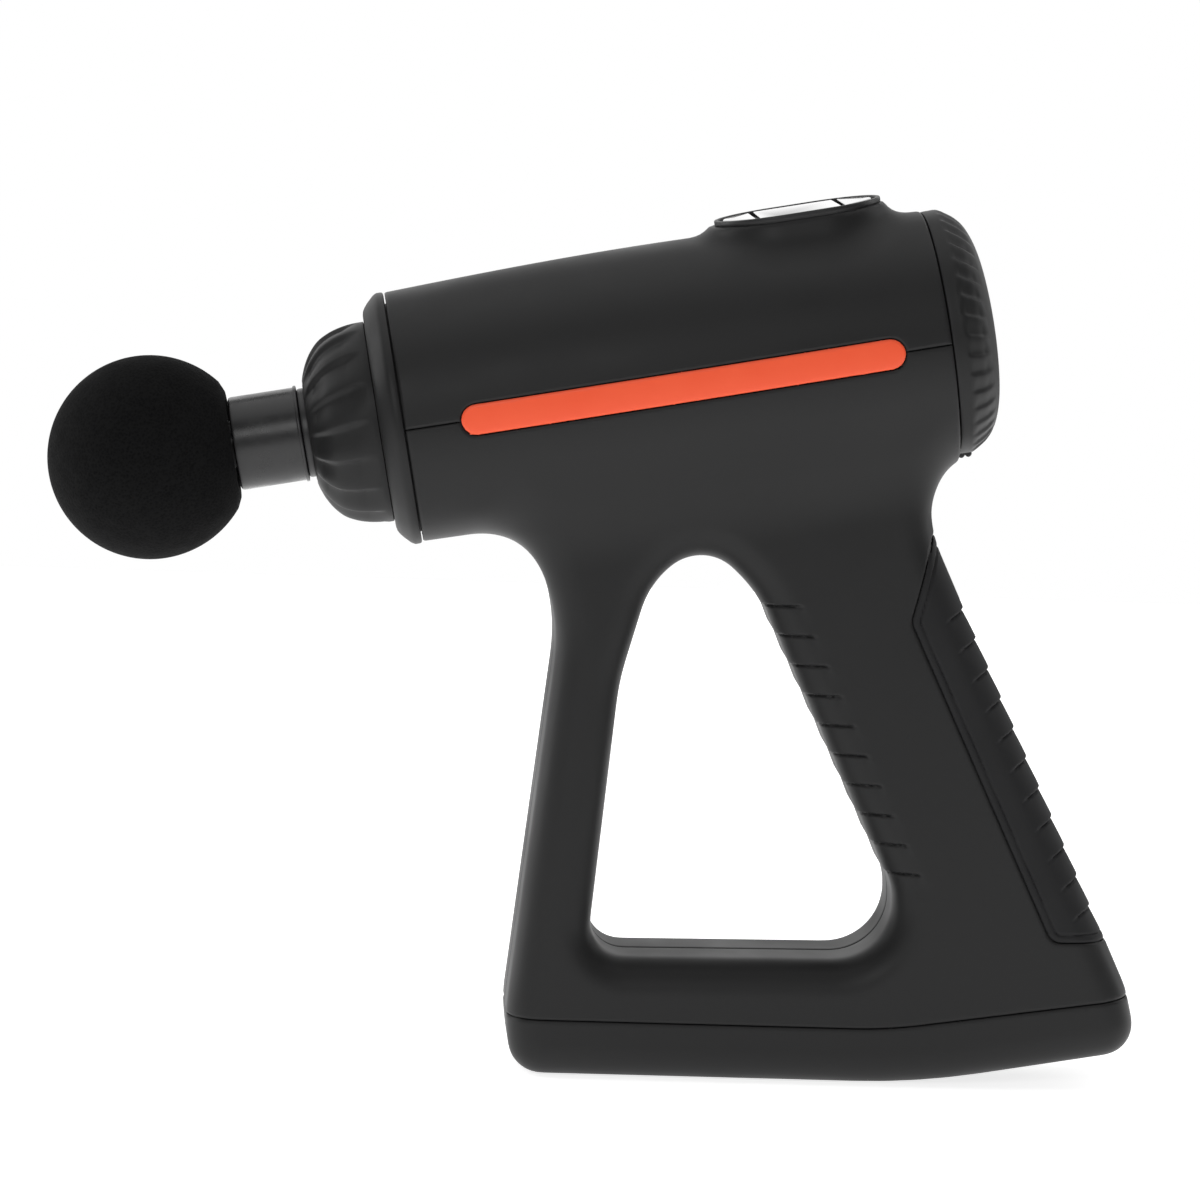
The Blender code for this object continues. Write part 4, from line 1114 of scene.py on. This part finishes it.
def attachment():
    """Stem with its grooves, dark ring at the piston's mouth, and the foam ball with its seat."""
    front = STEM_FRONT
    profile = [
        (BALL_MIDDLE, 0.0), (BALL_MIDDLE, 5.8), (front - 0.1, 5.8), (front, 10.9),
        (front + 0.3, 11.45), (front + 0.8, 11.6), (-26.2, 11.6), (-26.0, 11.65), (-25.9, 11.95),
        (-25.75, 12.0), (-25.4, 12.0), (-25.25, 11.9), (-25.2, 11.5), (-25.2, 7.4), (-10.4, 7.4),
        (-10.35, 6.2), (-8.45, 6.2), (-8.4, 7.4), (-1.4, 7.4), (-0.5, 6.6), (-0.4, 6.2),
        (-0.4, 0.0),
    ]
    stem = lathe("attachment_stem_moulding", profile, 128)
    finish_piece(stem, "stem_gloss", "head", ("attachment_stem",))

    ring = [(-25.12, 8.2), (-25.12, 10.6), (-24.95, 10.95), (-24.4, 11.1), (-23.2, 11.1), (-22.9, 11.0)]
    ring += [(-22.7, 10.6), (-22.7, 10.2), (-24.7, 10.2), (-24.7, 8.2)]
    seal = lathe("piston_front_ring", ring, 96)
    finish_piece(seal, "switch_plastic", "piston")

    reach = front - 0.35 - BALL_MIDDLE
    seat = math.acos(-reach / BALL_RADIUS)
    arc = []
    shoulder = math.radians(4.5)
    for k in range(BALL_STEPS + 1):
        angle = (seat - shoulder) * k / BALL_STEPS
        arc.append((BALL_MIDDLE - BALL_RADIUS * math.cos(angle), BALL_RADIUS * math.sin(angle)))
    seat_radius = math.sqrt(BALL_RADIUS**2 - reach**2)
    tail = [
        (front - 0.75, seat_radius - 0.1), (front - 0.4, seat_radius - 0.9),
        (front - 0.35, seat_radius - 1.8), (front - 0.45, 11.4), (front - 0.9, 11.0),
        (front - 0.9, 6.2), (-64.0, 6.2), (-64.0, 0.0),
    ]
    ball = lathe("foam_ball_head", arc + tail, 144)
    finish_piece(ball, "ball_foam", "head", ("foam_ball",))


def screw_heads():
    """Pan heads with a cross recess, deep in their holes in the right shell."""
    for name in SCREW_NODES:
        x, _, z = node_centre(name)
        head_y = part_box(name)[1][1] / MM
        bm = bmesh.new()
        turn = Matrix.Rotation(-math.pi / 2, 4, "X")
        bmesh.ops.create_cone(bm, cap_ends=True, segments=40, radius1=2.6, radius2=2.35, depth=1.9)
        bmesh.ops.bevel(
            bm,
            geom=[e for e in bm.edges if e.calc_face_angle(0) > 0.8],
            offset=0.25,
            segments=3,
            affect="EDGES",
        )
        bmesh.ops.transform(bm, matrix=Matrix.Translation((x, head_y - 0.95, z)) @ turn, verts=bm.verts)
        head = as_object(f"{name}_head", bm)
        cross = bmesh.new()
        for size in ((2.9, 0.62, 2.0), (0.62, 2.9, 2.0)):
            made = bmesh.ops.create_cube(cross, size=1)["verts"]
            bmesh.ops.transform(cross, matrix=Matrix.Diagonal((*size, 1)), verts=made)
        bmesh.ops.transform(cross, matrix=Matrix.Translation((x, head_y, z)) @ turn, verts=cross.verts)
        tool = as_object(f"{name}_cross", cross, smooth=False)
        cut = head.modifiers.new("cross", "BOOLEAN")
        cut.object = tool
        cut.use_self = True
        applied(head)
        bpy.data.objects.remove(tool)
        finish_piece(head, "black_steel", "housing", (name,))


def power_switch():
    """Slide knob with two ridges, in the slot under the rear cap."""
    centre = node_centre("power_switch")
    s, n = barrel_coordinates(np.array([centre[0]]), np.array([centre[2]]))
    s, n, y = float(s[0]), float(n[0]), float(centre[1])
    reach, top, bottom, ridge = 1.75, n + 1.9, n - 0.6, 0.75
    rings = []
    sides = ((-1.5, 0.25), (-1.35, 0.08), (-1.15, 0.0), (1.15, 0.0), (1.35, 0.08), (1.5, 0.25))
    for side, shrink in sides:
        outline = []
        for k in range(33):
            u = -1 + k / 16
            lobe = abs(math.sin(math.pi * u)) ** 0.6
            outline.append((s + u * (reach - shrink), y + side, bottom - ridge * lobe + shrink))
        for u in (1, 0.5, 0, -0.5, -1):
            outline.append((s + u * (reach - shrink), y + side, top))
        rings.append(outline)
    knob = loft("power_switch_knob", rings)
    finish_piece(knob, "switch_plastic", "switch", ("power_switch",))


def dress_cad_nodes():
    """Gives every CAD node that still shows its procedural material."""
    slots = {entry["node"]: entry["material_slot"] for entry in frame["record"]["subparts"]}
    for name, obj in frame["nodes"].items():
        material = MATERIALS[slots[name]]
        if obj.material_slots:
            for place in obj.material_slots:
                place.material = material
        else:
            obj.data.materials.append(material)


# ---------------------------------------------------------------- stage


FLOOR_GLOW = 0.76
ROOM_LIGHT = 0.2
STAGE_MIDDLE = (0.0, 0.0, 0.11)
LIGHTS = (  # name, place, width and height, watts
    ("overhead", (0.0, 0.2, 2.2), (3.2, 2.6), 23.0),
    ("behind", (0.0, 2.3, 0.95), (3.4, 1.5), 18.0),
    ("left_edge", (-1.25, 0.45, 0.45), (0.5, 1.3), 7.0),
    ("right_edge", (1.25, 0.50, 0.55), (0.5, 1.3), 4.0),
    ("front_fill", (-0.5, -1.9, 1.1), (0.9, 0.7), 8.0),
)


def studio_floor():
    """A pale floor, lit as brightly as the white beyond its edge."""
    mesh = bpy.data.meshes.new("studio_floor")
    bm = bmesh.new()
    bmesh.ops.create_grid(bm, x_segments=8, y_segments=8, size=0.9)
    bm.to_mesh(mesh)
    bm.free()
    obj = bpy.data.objects.new("studio_floor", mesh)
    bpy.context.scene.collection.objects.link(obj)
    material, _, shader = new_material("studio_white", (0.85, 0.85, 0.85), 0.9, specular=0.1)
    shader.inputs["Emission Color"].default_value = (1, 1, 1, 1)
    shader.inputs["Emission Strength"].default_value = FLOOR_GLOW
    obj.data.materials.append(material)


def area_light(name, place, size, power):
    light = bpy.data.lights.new(name, "AREA")
    light.shape = "RECTANGLE"
    light.size, light.size_y = size
    light.energy = power
    obj = bpy.data.objects.new(name, light)
    obj.location = place
    obj.rotation_euler = (Vector(STAGE_MIDDLE) - Vector(place)).to_track_quat("-Z", "Y").to_euler()
    obj.visible_camera = False
    bpy.context.scene.collection.objects.link(obj)


def studio():
    """White all round to look at, but a dim room to be lit by, so that black pieces stay black."""
    world = bpy.data.worlds.new("studio")
    world.use_nodes = True
    tree = world.node_tree
    background = tree.nodes["Background"]
    background.inputs["Color"].default_value = (1, 1, 1, 1)
    path = tree.nodes.new("ShaderNodeLightPath")
    level = tree.nodes.new("ShaderNodeMapRange")
    level.inputs["To Min"].default_value = ROOM_LIGHT
    level.inputs["To Max"].default_value = 1.0
    tree.links.new(path.outputs["Is Camera Ray"], level.inputs["Value"])
    tree.links.new(level.outputs["Result"], background.inputs["Strength"])
    bpy.context.scene.world = world
    bpy.context.scene.view_settings.view_transform = "Standard"
    for name, place, size, power in LIGHTS:
        area_light(name, place, size, power)


CAMERA_PLACE = (-72.0, -1234.0, 289.0)
CAMERA_AIM = (0.0, 0.0, 118.5)
CAMERA_LENS = 149.74
CAMERA_ROLL = math.radians(2.3)


def camera():
    data = bpy.data.cameras.new("photo_camera")
    data.lens = CAMERA_LENS
    data.sensor_width = 36.0
    data.clip_end = 50.0
    obj = bpy.data.objects.new("photo_camera", data)
    place = (Vector(CAMERA_PLACE) + Vector(SHIFT)) * MM
    aim = (Vector(CAMERA_AIM) + Vector(SHIFT)) * MM
    look = (aim - place).to_track_quat("-Z", "Y").to_matrix().to_4x4()
    obj.matrix_world = Matrix.Translation(place) @ look @ Matrix.Rotation(CAMERA_ROLL, 4, "Z")
    bpy.context.scene.collection.objects.link(obj)
    bpy.context.scene.camera = obj


camera()
studio_floor()
studio()
dress_cad_nodes()
shell_pieces()
front_collar()
nose_dome()
rear_cap()
touch_panel()
attachment()
screw_heads()
power_switch()
